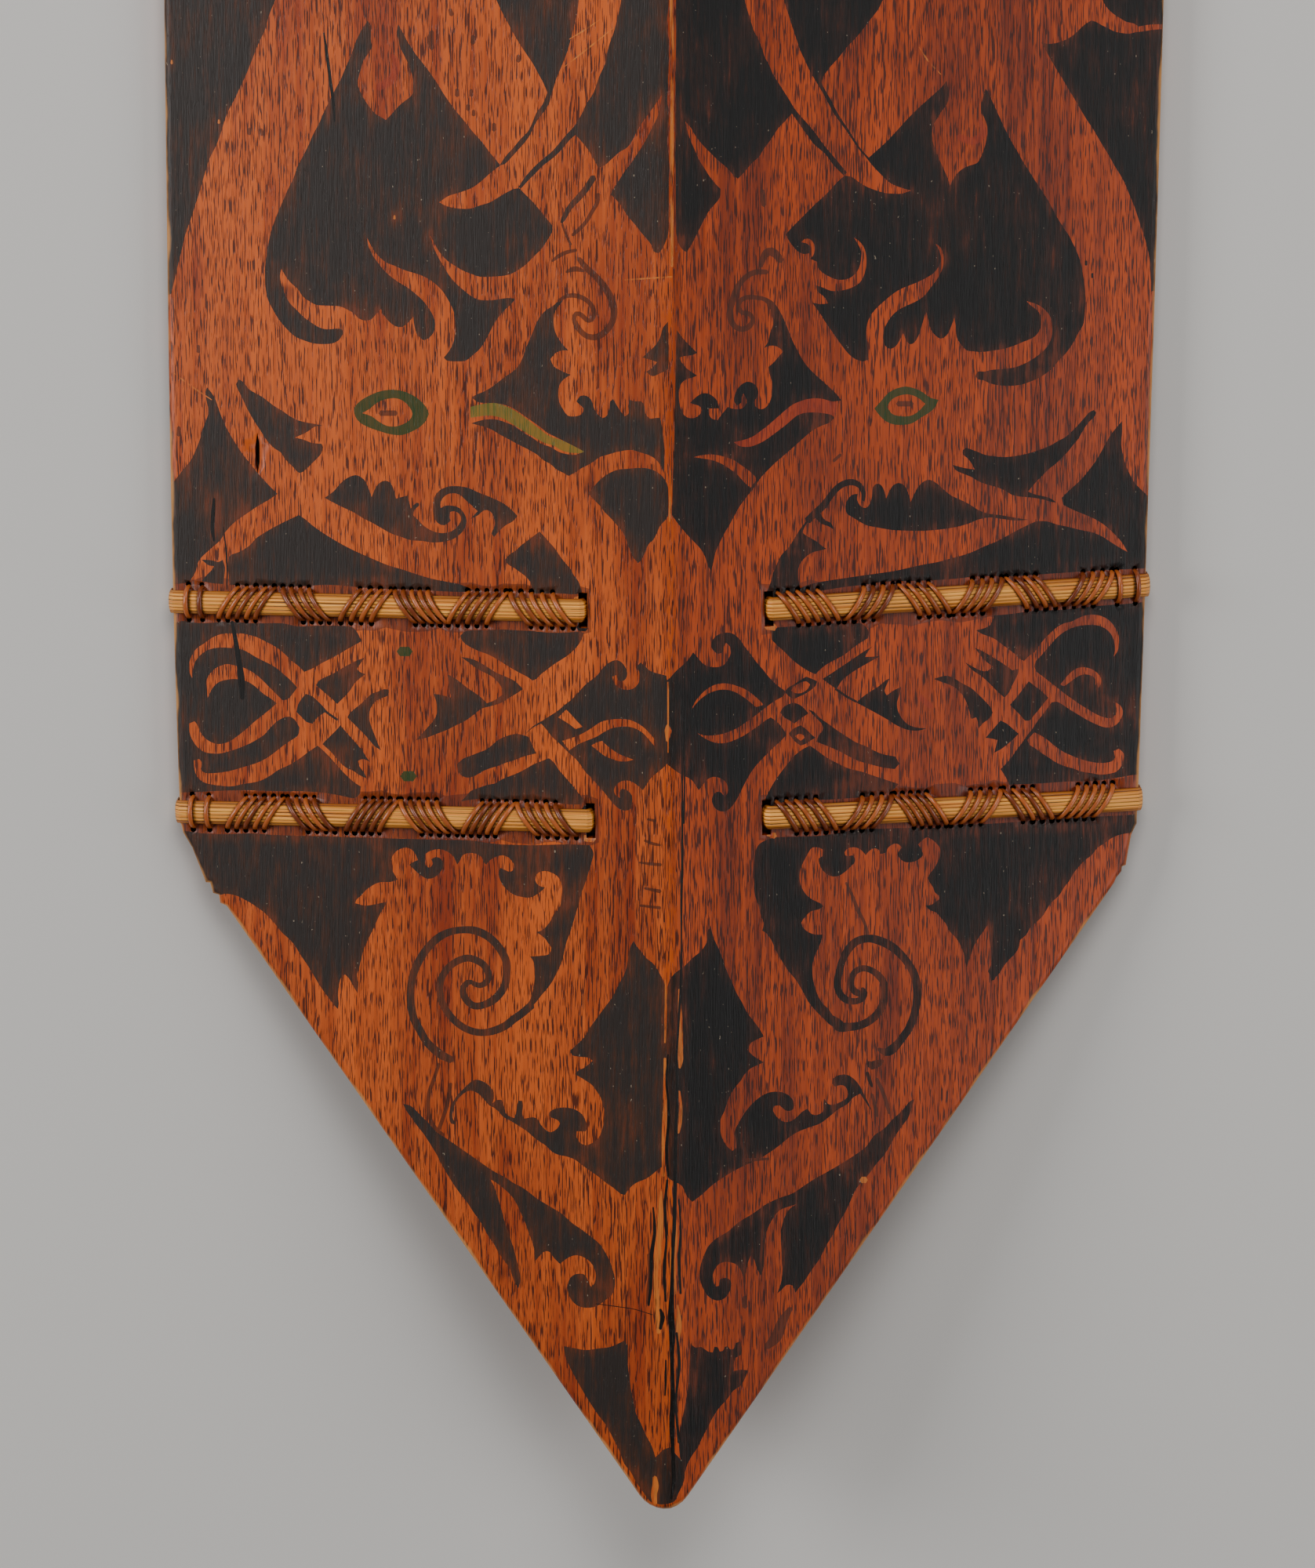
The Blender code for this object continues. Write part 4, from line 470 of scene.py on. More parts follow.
BARE_STREAKS = """
855,-60,3 856,0,4 857,60,5 857,120,4 857,200,5 857,270,4 857,340,3
855,600,2 855,630,3 854,665,2
852,870,2 852,915,2 852,960,1
851,925,3 852,932,9 851,945,3
849,1250,2 849,1290,3 848,1330,2
866,1262,2 867,1290,5 868,1310,6 867,1330,8 868,1350,7 867,1362,3
866,1392,3 867,1410,6 867,1432,5 865,1445,3
848,1350,3 848,1400,5 847,1450,6 846,1500,4
835,1884,5 836,1895,8 834,1905,8 835,1918,6
860,1545,3 861,1575,6 858,1610,7 860,1650,5
843,1520,3 842,1560,8 839,1600,9 838,1650,8 840,1700,5
864,1665,3 866,1690,7 864,1712,4
733,764,5 745,763,8
745,1069,8 757,1070,9
977,800,6 988,800,9
979,1064,5 988,1066,8
1099,1505,8 1104,1505,8
797,357,2 857,353,2
222,476,1 246,494,2 270,510,1
726,50,1 746,38,2 765,25,1
720,85,1 752,60,2 783,35,1
1172,60,1 1184,78,2 1200,95,1
279,153,2 279,157,3
219,77,2 219,81,3
503,275,2 503,279,3
954,1768,3 954,1773,4
"""

# The pupils, laid over the eyes' inner parts: x, y and width in photo pixels
PUPILS = "485,527,7 505,527,7\n1145,515,7 1163,515,7"


def numbers(text: str) -> np.ndarray:
    """Reads 'x,y x,y' pairs or triples.

    Args:
        text: The places of one line.

    Returns:
        One row a place.
    """
    places = text.replace("*", "").split()
    return np.array([[float(v) for v in place.split(",")] for place in places])


def marked_corners(text: str) -> np.ndarray:
    """Which places of a line are marked as sharp corners, as one truth value a place."""
    return np.array([place.endswith("*") for place in text.split()])


@dataclass(frozen=True)
class PhotoView:
    """The camera that stands where the photo's did.

    Attributes:
        place, aim: Where it stands and what it looks at.
        lens: Focal length in mm on a 36 mm sensor along the picture's height.
        width, height: The picture's size in pixels.
    """

    place: tuple = (-0.0023, 0.0, 2.435)
    aim: tuple = (-0.0023, -0.349, 0.035)
    lens: float = 145.5
    width: int = 1677
    height: int = 2000
    sensor: float = 36.0

    def to_board(self, pixels: np.ndarray) -> np.ndarray:
        """Places of photo pixels on the board's front face.

        Args:
            pixels: Rows of picture x and y.

        Returns:
            Rows of board X and Y in metres.
        """
        gaze = np.array(self.aim) - np.array(self.place)
        gaze /= np.linalg.norm(gaze)
        up = np.array((0.0, -gaze[2], gaze[1]))
        up *= np.sign(up[1])
        focal = self.lens / self.sensor * self.height
        across = (pixels[:, 0] - self.width / 2) / focal
        rise = (self.height / 2 - pixels[:, 1]) / focal
        rays = gaze + rise[:, None] * up + across[:, None] * np.array((1.0, 0.0, 0.0))
        height = np.full(len(pixels), 0.03)
        for _ in range(12):
            reach = (height - self.place[2]) / rays[:, 2]
            found = np.array(self.place) + rays * reach[:, None]
            height = BOARD.front(found[:, 0])
        return found[:, :2]

    def make_camera(self) -> bpy.types.Object:
        """Puts the camera in the scene.

        Returns:
            The camera, which is the scene's own.
        """
        data = bpy.data.cameras.new("photo_camera")
        data.lens = self.lens
        data.sensor_width = self.sensor
        camera = bpy.data.objects.new("photo_camera", data)
        camera.location = self.place
        drop, run = self.place[2] - self.aim[2], self.place[1] - self.aim[1]
        camera.rotation_euler = (-math.atan2(run, drop), 0.0, 0.0)
        bpy.context.scene.collection.objects.link(camera)
        bpy.context.scene.camera = camera
        return camera


PHOTO = PhotoView()


def spline(points: np.ndarray, sharp: np.ndarray, closed: bool, step: float) -> np.ndarray:
    """A curve through points that is smooth but for its sharp corners.

    Args:
        points: Rows of coordinates, of which the first two are a place.
        sharp: Which of them are corners.
        closed: Whether the curve comes back to its start.
        step: Longest wanted distance between samples.

    Returns:
        The samples, without a repeated end.
    """
    count = len(points)
    before, after = np.roll(points, 1, 0), np.roll(points, -1, 0)
    tangent = (after - before) / 2
    if not closed:
        tangent[0] = points[1] - points[0]
        tangent[-1] = points[-1] - points[-2]
    into, out = tangent.copy(), tangent.copy()
    into[sharp] = (points - before)[sharp]
    out[sharp] = (after - points)[sharp]
    pieces = []
    for i in range(count if closed else count - 1):
        j = (i + 1) % count
        reach = np.linalg.norm(points[j, :2] - points[i, :2])
        limit = reach / max(np.linalg.norm(out[i, :2]), 1e-9)
        first = out[i] * min(limit, 1.0)
        limit = reach / max(np.linalg.norm(into[j, :2]), 1e-9)
        last = into[j] * min(limit, 1.0)
        t = np.arange(max(1, math.ceil(reach / step))) / max(1, math.ceil(reach / step))
        t = t[:, None]
        pieces.append(
            (2 * t**3 - 3 * t**2 + 1) * points[i] + (t**3 - 2 * t**2 + t) * first
            + (3 * t**2 - 2 * t**3) * points[j] + (t**3 - t**2) * last
        )
    if not closed:
        pieces.append(points[-1:])
    return np.concatenate(pieces)


def sharp_turns(points: np.ndarray) -> np.ndarray:
    """Which corners of a closed line turn by more than 70 degrees.

    Args:
        points: Rows of X and Y.

    Returns:
        One truth value a corner.
    """
    back = points - np.roll(points, 1, 0)
    ahead = np.roll(points, -1, 0) - points
    turn = np.arctan2(back[:, 0] * ahead[:, 1] - back[:, 1] * ahead[:, 0], (back * ahead).sum(1))
    return np.abs(turn) > math.radians(70)


def areas(text: str) -> list[np.ndarray]:
    """The closed outlines of a block of text, on the board, in metres.

    Args:
        text: One outline a line, as places in photo pixels.

    Returns:
        One array of X and Y an outline.
    """
    found = []
    for line in text.strip().splitlines():
        pixels = numbers(line)
        sharp = marked_corners(line) | sharp_turns(pixels)
        found.append(PHOTO.to_board(spline(pixels, sharp, True, SAMPLE_PIXELS)))
    return found


def strokes(text: str) -> list[np.ndarray]:
    """The outlines of a block of brush strokes, on the board, in metres.

    Args:
        text: One stroke a line, as places and widths in photo pixels.

    Returns:
        One array of X and Y a stroke.
    """
    found = []
    for line in text.strip().splitlines():
        rows = numbers(line)
        rows = spline(rows, np.zeros(len(rows), bool), False, SAMPLE_PIXELS)
        tangent = np.gradient(rows[:, :2], axis=0)
        tangent /= np.maximum(np.linalg.norm(tangent, axis=1), 1e-9)[:, None]
        normal = np.stack((-tangent[:, 1], tangent[:, 0]), 1)
        half = rows[:, 2:3] / 2
        start = rows[:1, :2] - tangent[:1] * half[:1] * STROKE_END
        end = rows[-1:, :2] + tangent[-1:] * half[-1:] * STROKE_END
        sides = (start, rows[:, :2] + normal * half, end, (rows[:, :2] - normal * half)[::-1])
        found.append(PHOTO.to_board(np.concatenate(sides)))
    return found


def inside(points: np.ndarray, loop: np.ndarray) -> np.ndarray:
    """Which points lie within a closed line, by counting crossings.

    Args:
        points: Rows of X and Y.
        loop: The line's corners.

    Returns:
        One truth value a point.
    """
    result = np.zeros(len(points), bool)
    near = ((points > loop.min(0)) & (points < loop.max(0))).all(1)
    some = points[near]
    hits = np.zeros(len(some), bool)
    for (x1, y1), (x2, y2) in zip(loop, np.roll(loop, -1, 0)):
        if y1 != y2:
            crosses = (some[:, 1] > min(y1, y2)) & (some[:, 1] <= max(y1, y2))
            hits ^= crosses & (some[:, 0] < x1 + (some[:, 1] - y1) * (x2 - x1) / (y2 - y1))
    result[near] = hits
    return result


def board_outline() -> np.ndarray:
    """The six-sided plan with its rounded tips and chipped lower shoulders.

    Returns:
        Rows of X and Y, counter-clockwise.
    """
    centre_y = BOARD.length / 2 - BOARD.tip_radius
    shoulder = (BOARD.shoulder_left + BOARD.shoulder_right) / 2
    run = centre_y - BOARD.shoulder_y
    half_turn = math.pi / 2 - math.atan2(shoulder, run) + math.asin(
        BOARD.tip_radius / math.hypot(shoulder, run)
    )
    turn = np.linspace(-half_turn, half_turn, 9)
    arc = np.stack((BOARD.tip_radius * np.sin(turn), centre_y + BOARD.tip_radius * np.cos(turn)), 1)
    chips_right = numbers(RIGHT_CHIPS) * MM
    chips_left = numbers(LEFT_CHIPS) * MM
    corner_right = np.stack(
        (BOARD.shoulder_right - chips_right[:, 0], -BOARD.shoulder_y - chips_right[:, 1]), 1
    )
    corner_left = np.stack(
        (chips_left[:, 0] - BOARD.shoulder_left, -BOARD.shoulder_y - chips_left[:, 1]), 1
    )
    y = np.linspace(-BOARD.shoulder_y, BOARD.shoulder_y, 49)[1:]
    right = np.stack((BOARD.half_width(Side.RIGHT, y), y), 1)
    left = np.stack((-BOARD.half_width(Side.LEFT, y), y), 1)
    lower = arc * (1, -1)
    corners = np.concatenate((lower, corner_right[::-1], right, arc[::-1], left[::-1], corner_left))
    ends = np.roll(corners, -1, 0)
    counts = np.ceil(np.linalg.norm(ends - corners, axis=1) / OUTLINE_STEP).astype(int)
    share = np.concatenate([np.arange(count) / count for count in counts])[:, None]
    return np.repeat(corners, counts, 0) * (1 - share) + np.repeat(ends, counts, 0) * share


def shrunk(loop: np.ndarray, inset: float) -> np.ndarray:
    """A counter-clockwise outline moved inwards.

    Args:
        loop: Rows of X and Y.
        inset: How far.

    Returns:
        As many rows.
    """
    ahead = np.roll(loop, -1, 0) - np.roll(loop, 1, 0)
    ahead /= np.linalg.norm(ahead, axis=1)[:, None]
    return loop + inset * np.stack((-ahead[:, 1], ahead[:, 0]), 1)


@dataclass
class BandAxes:
    """One cane band's own axes: s in from the edge, t across the band, h up from the front face."""

    name: str
    side: Side
    edge_y: float
    slot_y: float
    slot_from_ridge: float

    def __post_init__(self) -> None:
        """Works out the axes from the board's shape."""
        self.angle = math.atan(BOARD.slope(self.side))
        sign = self.side.value
        edge_x = sign * BOARD.reach(self.side, self.edge_y)
        slot_x = BOARD.ridge_x + sign * self.slot_from_ridge
        self.origin = np.array((edge_x, self.edge_y, BOARD.sharp_front(edge_x)))
        slot = np.array((slot_x, self.slot_y, BOARD.sharp_front(slot_x)))
        self.length = float(np.linalg.norm(slot - self.origin))
        self.along = (slot - self.origin) / self.length
        self.up = np.array((sign * math.sin(self.angle), 0.0, math.cos(self.angle)))
        self.across = np.cross(self.up, self.along)
        self.spread = math.tan(self.angle - math.atan(BOARD.back_slope(self.side)))
        depth = BOARD.edge_depth(self.side, self.edge_y)
        self.corner = (-depth * math.sin(self.angle), -depth * math.cos(self.angle))

    def back(self, s: np.ndarray | float) -> np.ndarray | float:
        """Height of the board's back face under s: it nears the front face outwards."""
        return self.corner[1] - self.spread * (s - self.corner[0])

    def points(
        self, s: np.ndarray | float, t: np.ndarray | float, h: np.ndarray | float
    ) -> np.ndarray:
        """World places of s, t and h.

        Args:
            s: Distance in from the edge.
            t: Distance across the band.
            h: Height from the front face.

        Returns:
            The places, with X, Y and Z last.
        """
        s, t, h = np.broadcast_arrays(s, t, h)
        parts = s[..., None] * self.along + t[..., None] * self.across + h[..., None] * self.up
        return self.origin + parts

    def slot_loop(self) -> np.ndarray:
        """Plan of the slot that takes the cane's end.

        Returns:
            Four corners, as rows of X and Y.
        """
        wall = self.length - SLOT_WALL
        s = np.array((wall, wall + SLOT_LENGTH, wall + SLOT_LENGTH, wall))
        t = np.array((-SLOT_HALF, -SLOT_HALF, SLOT_HALF, SLOT_HALF))
        return self.points(s, t, 0.0)[:, :2]

    def grime_loop(self) -> np.ndarray:
        """Plan of the darkened strip that the cane lies on, with two slow waves in its sides.

        Returns:
            Rows of X and Y.
        """
        s = np.linspace(0.0, self.length + 0.002, 40)
        wave = 0.0007 * np.sin(s * 310.0 + self.edge_y * 90.0) + 0.0004 * np.sin(s * 830.0)
        s = np.concatenate((s, s[::-1]))
        t = np.concatenate((-0.0092 + wave, 0.0092 - wave[::-1]))
        return self.points(s, t, 0.0)[:, :2]

    def wraps(self) -> list[tuple]:
        """(s of the middle, lean) of each wrap, from the side edge inwards.

        Returns:
            Pairs of a distance and the strand's run along the band while it crosses over.
        """
        row, groups = WRAPS[self.side, "inboard" in self.name]
        mirrored = 1 if self.edge_y < 0 else -1
        found = []
        for first, last, lean, count in groups:
            trim = LEANING_TRIM if lean else UPRIGHT_TRIM
            ends = np.array(((first + trim, row), (last - trim, row)), float)
            x = PHOTO.to_board(ends)[:, 0]
            s = np.abs(x - self.origin[0]) / math.cos(self.angle)
            run = lean * mirrored * STRAND_RUN
            found += [(middle, run) for middle in np.linspace(s[0], s[1], count)]
        return sorted(found)


def hole_places(bands: list[BandAxes]) -> np.ndarray:
    """Where each strand goes through the board.

    Args:
        bands: All the bands.

    Returns:
        Rows of X, Y and the hole's radius.
    """
    rows = []
    for band in bands:
        rng = np.random.default_rng(len(rows) + 5)
        for s, run in band.wraps():
            for end in (-1, 1):
                # The strand runs towards +X as it climbs, whichever wing it is on.
                along = s - end * run / 2 * band.side.value * (1 if band.across[1] > 0 else -1)
                place = band.points(along, end * HOLE_OFFSET, 0.0)
                rows.append((place[0], place[1], 0.0009 + 0.0003 * rng.random()))
    return np.array(rows)


@dataclass
class Sheet:
    """A flat triangulation of the board's plan.

    Attributes:
        points: Rows of X and Y.
        faces: Rows of three point numbers, counter-clockwise.
    """

    points: np.ndarray
    faces: np.ndarray

    @classmethod
    def cut(cls, outline: np.ndarray, gaps: list, loops: list, loose: np.ndarray) -> "Sheet":
        """Triangulates the plan along every loop.

        Args:
            outline: The board's edge.
            gaps: Loops that go right through.
            loops: Loops that faces must not cross.
            loose: Further points.

        Returns:
            The faces within the outline and outside the gaps.
        """
        shapes = [outline, *gaps, *loops]
        edges, first = [], 0
        for shape in shapes:
            last = first + len(shape)
            edges += [(i, i + 1) for i in range(first, last - 1)] + [(last - 1, first)]
            first = last
        places = [Vector(place) for place in (np.concatenate([*shapes, loose]) / MM).tolist()]
        result = delaunay_2d_cdt(places, edges, [], 0, 0.02, False)
        points = np.array([(p.x, p.y) for p in result[0]]) * MM
        faces = np.array([f for f in result[2] if len(f) == 3])
        middle = points[faces].mean(1)
        keep = inside(middle, outline)
        for gap in gaps:
            keep &= ~inside(middle, gap)
        # Three points in line on the edge make a triangle that covers nothing.
        a, b, c = points[faces].transpose(1, 0, 2)
        twice_area = np.abs((b - a)[:, 0] * (c - a)[:, 1] - (b - a)[:, 1] * (c - a)[:, 0])
        flat = np.flatnonzero(keep & (twice_area < 1e-8))
        keep[flat] = edge_distance(middle[flat], outline) > 1e-6
        faces = faces[keep]
        used, renumbered = np.unique(faces, return_inverse=True)
        faces = renumbered.reshape(-1, 3)
        points = points[used]
        a, b, c = points[faces].transpose(1, 0, 2)
        flipped = (b - a)[:, 0] * (c - a)[:, 1] - (b - a)[:, 1] * (c - a)[:, 0] < 0
        faces[flipped] = faces[flipped][:, ::-1]
        return cls(points, faces)

    def rim(self) -> np.ndarray:
        """Directed edges that only one face has.

        Returns:
            Pairs of point numbers.
        """
        edges = np.concatenate([self.faces[:, pair] for pair in ((0, 1), (1, 2), (2, 0))])
        key = np.sort(edges, 1)
        _, first, count = np.unique(key, axis=0, return_index=True, return_counts=True)
        return edges[first[count == 1]]


def grid(spacing: float, outline: np.ndarray, margin: float) -> np.ndarray:
    """Slightly scattered points within the outline.

    Args:
        spacing: The mean distance between neighbours.
        outline: The board's edge.
        margin: How far from the edge they stay.

    Returns:
        Rows of X and Y.
    """
    rng = np.random.default_rng(3)
    x = np.arange(-0.19, 0.19, spacing)
    y = np.arange(-0.625, 0.625, spacing)
    places = np.stack(np.meshgrid(x, y), -1).reshape(-1, 2)
    places = places + rng.uniform(-0.25, 0.25, places.shape) * spacing
    return places[inside(places, shrunk(outline, margin))]


def edge_distance(points: np.ndarray, outline: np.ndarray) -> np.ndarray:
    """Distance of each point from the outline.

    Args:
        points: Rows of X and Y.
        outline: The board's edge.

    Returns:
        One distance a point.
    """
    nearest = np.full(len(points), np.inf)
    for a, b in zip(outline, np.roll(outline, -1, 0)):
        along = b - a
        share = np.clip((points - a) @ along / max(along @ along, 1e-12), 0, 1)
        nearest = np.minimum(nearest, np.linalg.norm(points - a - share[:, None] * along, axis=1))
    return nearest


def nearest_distance(points: np.ndarray, painting: list) -> np.ndarray:
    """Distance of each point from the nearest brush edge on its half of the board.

    Args:
        points: Rows of X and Y.
        painting: Pigments with their loops.

    Returns:
        One distance a point, none of them over the reach that matters to the paint's wear.
    """
    edges = np.concatenate([shape for _, shapes in painting for shape in shapes])
    folded = np.stack((points[:, 0], -np.abs(points[:, 1])), 1)
    nearest = np.full(len(points), PAINT_REACH)
    strip = np.floor(folded[:, 1] / PAINT_REACH)
    # In strips across the board, each with the brush edges of its neighbours.
    for number in np.unique(strip):
        some = np.flatnonzero(strip == number)
        near = edges[np.abs(edges[:, 1] / PAINT_REACH - number - 0.5) < 1.5]
        if len(near):
            gaps = np.hypot(*(folded[some, None] - near[None]).transpose(2, 0, 1))
            nearest[some] = np.minimum(gaps.min(1), PAINT_REACH)
    return nearest


def mesh_object(
    name: str, points: np.ndarray, faces: list | np.ndarray, smooth: bool | np.ndarray = True
) -> bpy.types.Object:
    """A mesh object from arrays.

    Args:
        name: The piece's name.
        points: Rows of X, Y and Z.
        faces: Rows of point numbers.
        smooth: Whether its faces are shaded smooth, or one truth value a face.

    Returns:
        The object, linked to the scene.
    """
    mesh = bpy.data.meshes.new(name)
    mesh.from_pydata(points.tolist(), [], [list(map(int, f)) for f in faces])
    mesh.polygons.foreach_set("use_smooth", np.broadcast_to(smooth, len(faces)).copy())
    mesh.update()
    obj = bpy.data.objects.new(name, mesh)
    bpy.context.scene.collection.objects.link(obj)
    return obj


def set_attribute(obj: bpy.types.Object, name: str, domain: str, values: np.ndarray) -> None:
    """Stores one number a point or face on a mesh.

    Args:
        obj: The mesh object.
        name: The attribute's name.
        domain: POINT or FACE.
        values: The numbers.
    """
    layer = obj.data.attributes.new(name, "FLOAT", domain)
    layer.data.foreach_set("value", values.astype(np.float32))


class Nodes:
    """Adds shader nodes to one material, left to right."""

    def __init__(self, name: str) -> None:
        """Makes the material.

        Args:
            name: The material's name.
        """
        self.material = bpy.data.materials.new(name)
        self.material.use_nodes = True
        self.tree = self.material.node_tree
        self.shader = self.tree.nodes["Principled BSDF"]
        self.count = 0

    def add(
        self, kind: str, inputs: tuple | dict = (), output: int | str = 0, **settings: object
    ) -> bpy.types.NodeSocket:
        """Adds a node with its settings and links.

        Args:
            kind: The node's type name without the ShaderNode prefix.
            inputs: Values or sockets, in the inputs' order or by their names or numbers.
            output: Name or number of the output that is returned.
            settings: The node's own options.

        Returns:
            The chosen output socket.
        """
        node = self.tree.nodes.new("ShaderNode" + kind)
        node.location = (-260 * (30 - self.count % 30), -180 * (self.count // 30))
        self.count += 1
        for key, value in settings.items():
            setattr(node, key, value)
        for key, value in inputs.items() if isinstance(inputs, dict) else enumerate(inputs):
            self.feed(node.inputs[key], value)
        return node.outputs[output]

    def feed(self, socket: bpy.types.NodeSocket, value: object) -> None:
        """Links a socket or sets its value.

        Args:
            socket: The input.
            value: A socket to link from, or the value.
        """
        if isinstance(value, bpy.types.NodeSocket):
            self.tree.links.new(value, socket)
        else:
            socket.default_value = value

    def finish(self, **inputs: object) -> bpy.types.Material:
        """Feeds the surface shader.

        Args:
            inputs: Values or sockets by the shader input's name, with _ for a space.

        Returns:
            The material.
        """
        for key, value in inputs.items():
            self.feed(self.shader.inputs[key.replace("_", " ")], value)
        return self.material


def colour(hex_code: str) -> tuple:
    """A linear colour from an sRGB hex code.

    Args:
        hex_code: Six digits.

    Returns:
        Red, green, blue and an alpha of 1.
    """
    parts = [int(hex_code[i:i + 2], 16) / 255 for i in (0, 2, 4)]
    linear = [c / 12.92 if c <= 0.04045 else ((c + 0.055) / 1.055) ** 2.4 for c in parts]
    return (*linear, 1.0)


# The wood's noise fields: repeats for each metre along X, Y and Z, detail, roughness, distortion
WOOD_NOISES = {
    "streak": ((38.0, 5.0, 20.0), 5.0, 0.65, 0.5),
    "fine": ((420.0, 9.0, 60.0), 3.0, 0.6, 0.0),
    "pores": ((2500.0, 135.0, 60.0), 1.0, 0.4, 0.0),
    "patches": ((22.0, 9.0, 10.0), 2.0, 0.5, 0.0),
    "spots": ((60.0, 36.0, 30.0), 2.0, 0.5, 0.0),
    "grain": ((520.0, 46.0, 60.0), 5.0, 0.7, 0.0),
    "cloud": ((42.0, 34.0, 30.0), 4.0, 0.6, 0.0),
    "specks": ((1100.0, 600.0, 60.0), 1.0, 0.5, 0.0),
    "rim": ((90.0, 40.0, 60.0), 3.0, 0.5, 0.0),
}


@dataclass(frozen=True)
class WoodFinish:
    """A light softwood stained red-brown, varnished, and painted in lamp black.

    To the eye it gives streaks along the grain, dark open pores, and paint that thins at its
    edges; the right wing, turned from the light, is given darker copies of the stain and the
    paint as painted shade.
    """

    bright: str = "C65A1B"
    deep: str = "842E10"
    # The right wing's stain is darker as painted shade, for that wing is turned from the light.
    shaded_right_bright: str = "B3450B"
    shaded_right_deep: str = "6C2206"
    pore: str = "34110A"
    bare: str = "C8742C"
    rubbed: str = "6E2E14"
    grime: str = "4E2011"
    black: str = "241C18"
    # The right wing's black paint, darker as painted shade.
    shaded_right_black: str = "060403"
    worn_black: str = "45230F"
    shaded_right_worn: str = "301408"
    wash: str = "3E1E10"
    green: str = "1C3A14"
    olive: str = "5E6622"
    red: str = "8E2A18"
    crack_and_hole_shade: str = "0C0704"
    speck: str = "9A8A74"
    raw_edge: str = "D09050"

    def make(self) -> bpy.types.Material:
        """Builds the material over the painting's face attributes.

        Returns:
            The material.
        """
        n = Nodes("stained_wood")
        add = n.add
        times, less = {"operation": "MULTIPLY"}, {"operation": "SUBTRACT"}
        times_plus = {"operation": "MULTIPLY_ADD"}
        smooth, blend = {"interpolation_type": "SMOOTHSTEP"}, {"data_type": "RGBA"}
        place = add("TexCoord", output="Object")
        noise = {}
        for name, (scale, detail, rough, distortion) in WOOD_NOISES.items():
            vector = add("VectorMath", (place, scale), **times)
            inputs = {"Vector": vector, "Scale": 1.0, "Detail": detail, "Roughness": rough}
            noise[name] = add("TexNoise", {**inputs, "Distortion": distortion}, "Fac")
        drawn = {}
        painted = [pigment.value for pigment in Pigment if pigment is not Pigment.WOOD]
        for name in (*painted, "paint_depth", "edge_distance"):
            drawn[name] = add("Attribute", output="Fac", attribute_name=name)
        # The right wing's share: there the stain and paint take darker copies, a painted shade.
        side = add("MapRange", (add("SeparateXYZ", (place,), "X"), -0.004, 0.010), **smooth)

        # Long soft streaks of lighter and darker stain along the grain.
        fine = noise["fine"]
        tone = add("Math", (fine, 0.35), **times)
        tone = add("Math", (noise["streak"], 0.65, tone), **times_plus)
        share = add("MapRange", (tone, 0.34, 0.62), **smooth)
        left = add("Mix", {0: share, 6: colour(self.deep), 7: colour(self.bright)}, 2, **blend)
        # The right wing's darker stain is painted shade.
        inputs = {0: share, 6: colour(self.shaded_right_deep), 7: colour(self.shaded_right_bright)}
        base = add("Mix", {0: side, 6: left, 7: add("Mix", inputs, 2, **blend)}, 2, **blend)

        # Open pores: dark dashes half a millimetre wide and some millimetres long.
        bar = add("Math", (noise["patches"], -0.13, 0.602), **times_plus)
        pore = add("Math", (noise["pores"], bar), **less)
        pore = add("Math", (pore, 18.0), use_clamp=True, **times)
        # Scattered dark knots and stains.
        spots = add("MapRange", (noise["spots"], 0.72, 0.80), **smooth)
        # Soot and dirt beside the canes.
        coats = [(pore, 0.9, self.pore), (spots, 0.55, self.pore)]
        coats.append((drawn[Pigment.GRIME.value], 0.62, self.grime))
        for amount, strength, shade in coats:
            amount = add("Math", (amount, strength), **times)
            base = add("Mix", {0: amount, 6: base, 7: colour(shade)}, 2, **blend)

        # The paint thins towards its edges, so the stain shows through there first.
        black = drawn[Pigment.BLACK.value]
        thin = add("MapRange", (drawn["paint_depth"], 0.0, 0.0045, 1.0, 0.0), **smooth)
        wear = add("Math", (noise["cloud"], 0.45, add("Math", (thin, 0.07), **times)), **times_plus)
        wear = add("Math", (noise["grain"], 0.55, wear), **times_plus)
        # The right wing's darker paint is painted shade.
        inputs = {0: side, 6: colour(self.black), 7: colour(self.shaded_right_black)}
        fresh = add("Mix", inputs, 2, **blend)
        inputs = {0: side, 6: colour(self.worn_black), 7: colour(self.shaded_right_worn)}
        worn = add("Mix", inputs, 2, **blend)
        share = add("MapRange", (wear, 0.46, 0.66), **smooth)
        paint = add("Mix", {0: share, 6: fresh, 7: worn}, 2, **blend)
        rubbed = add("MapRange", (wear, 0.58, 0.69), **smooth)
        specks = add("MapRange", (noise["specks"], 0.755, 0.82), **smooth)
        for amount, strength, shade in ((rubbed, 0.55, self.rubbed), (specks, 0.7, self.speck)):
            amount = add("Math", (amount, strength), **times)
            paint = add("Mix", {0: amount, 6: paint, 7: colour(shade)}, 2, **blend)
        base = add("Mix", {0: black, 6: base, 7: paint}, 2, **blend)

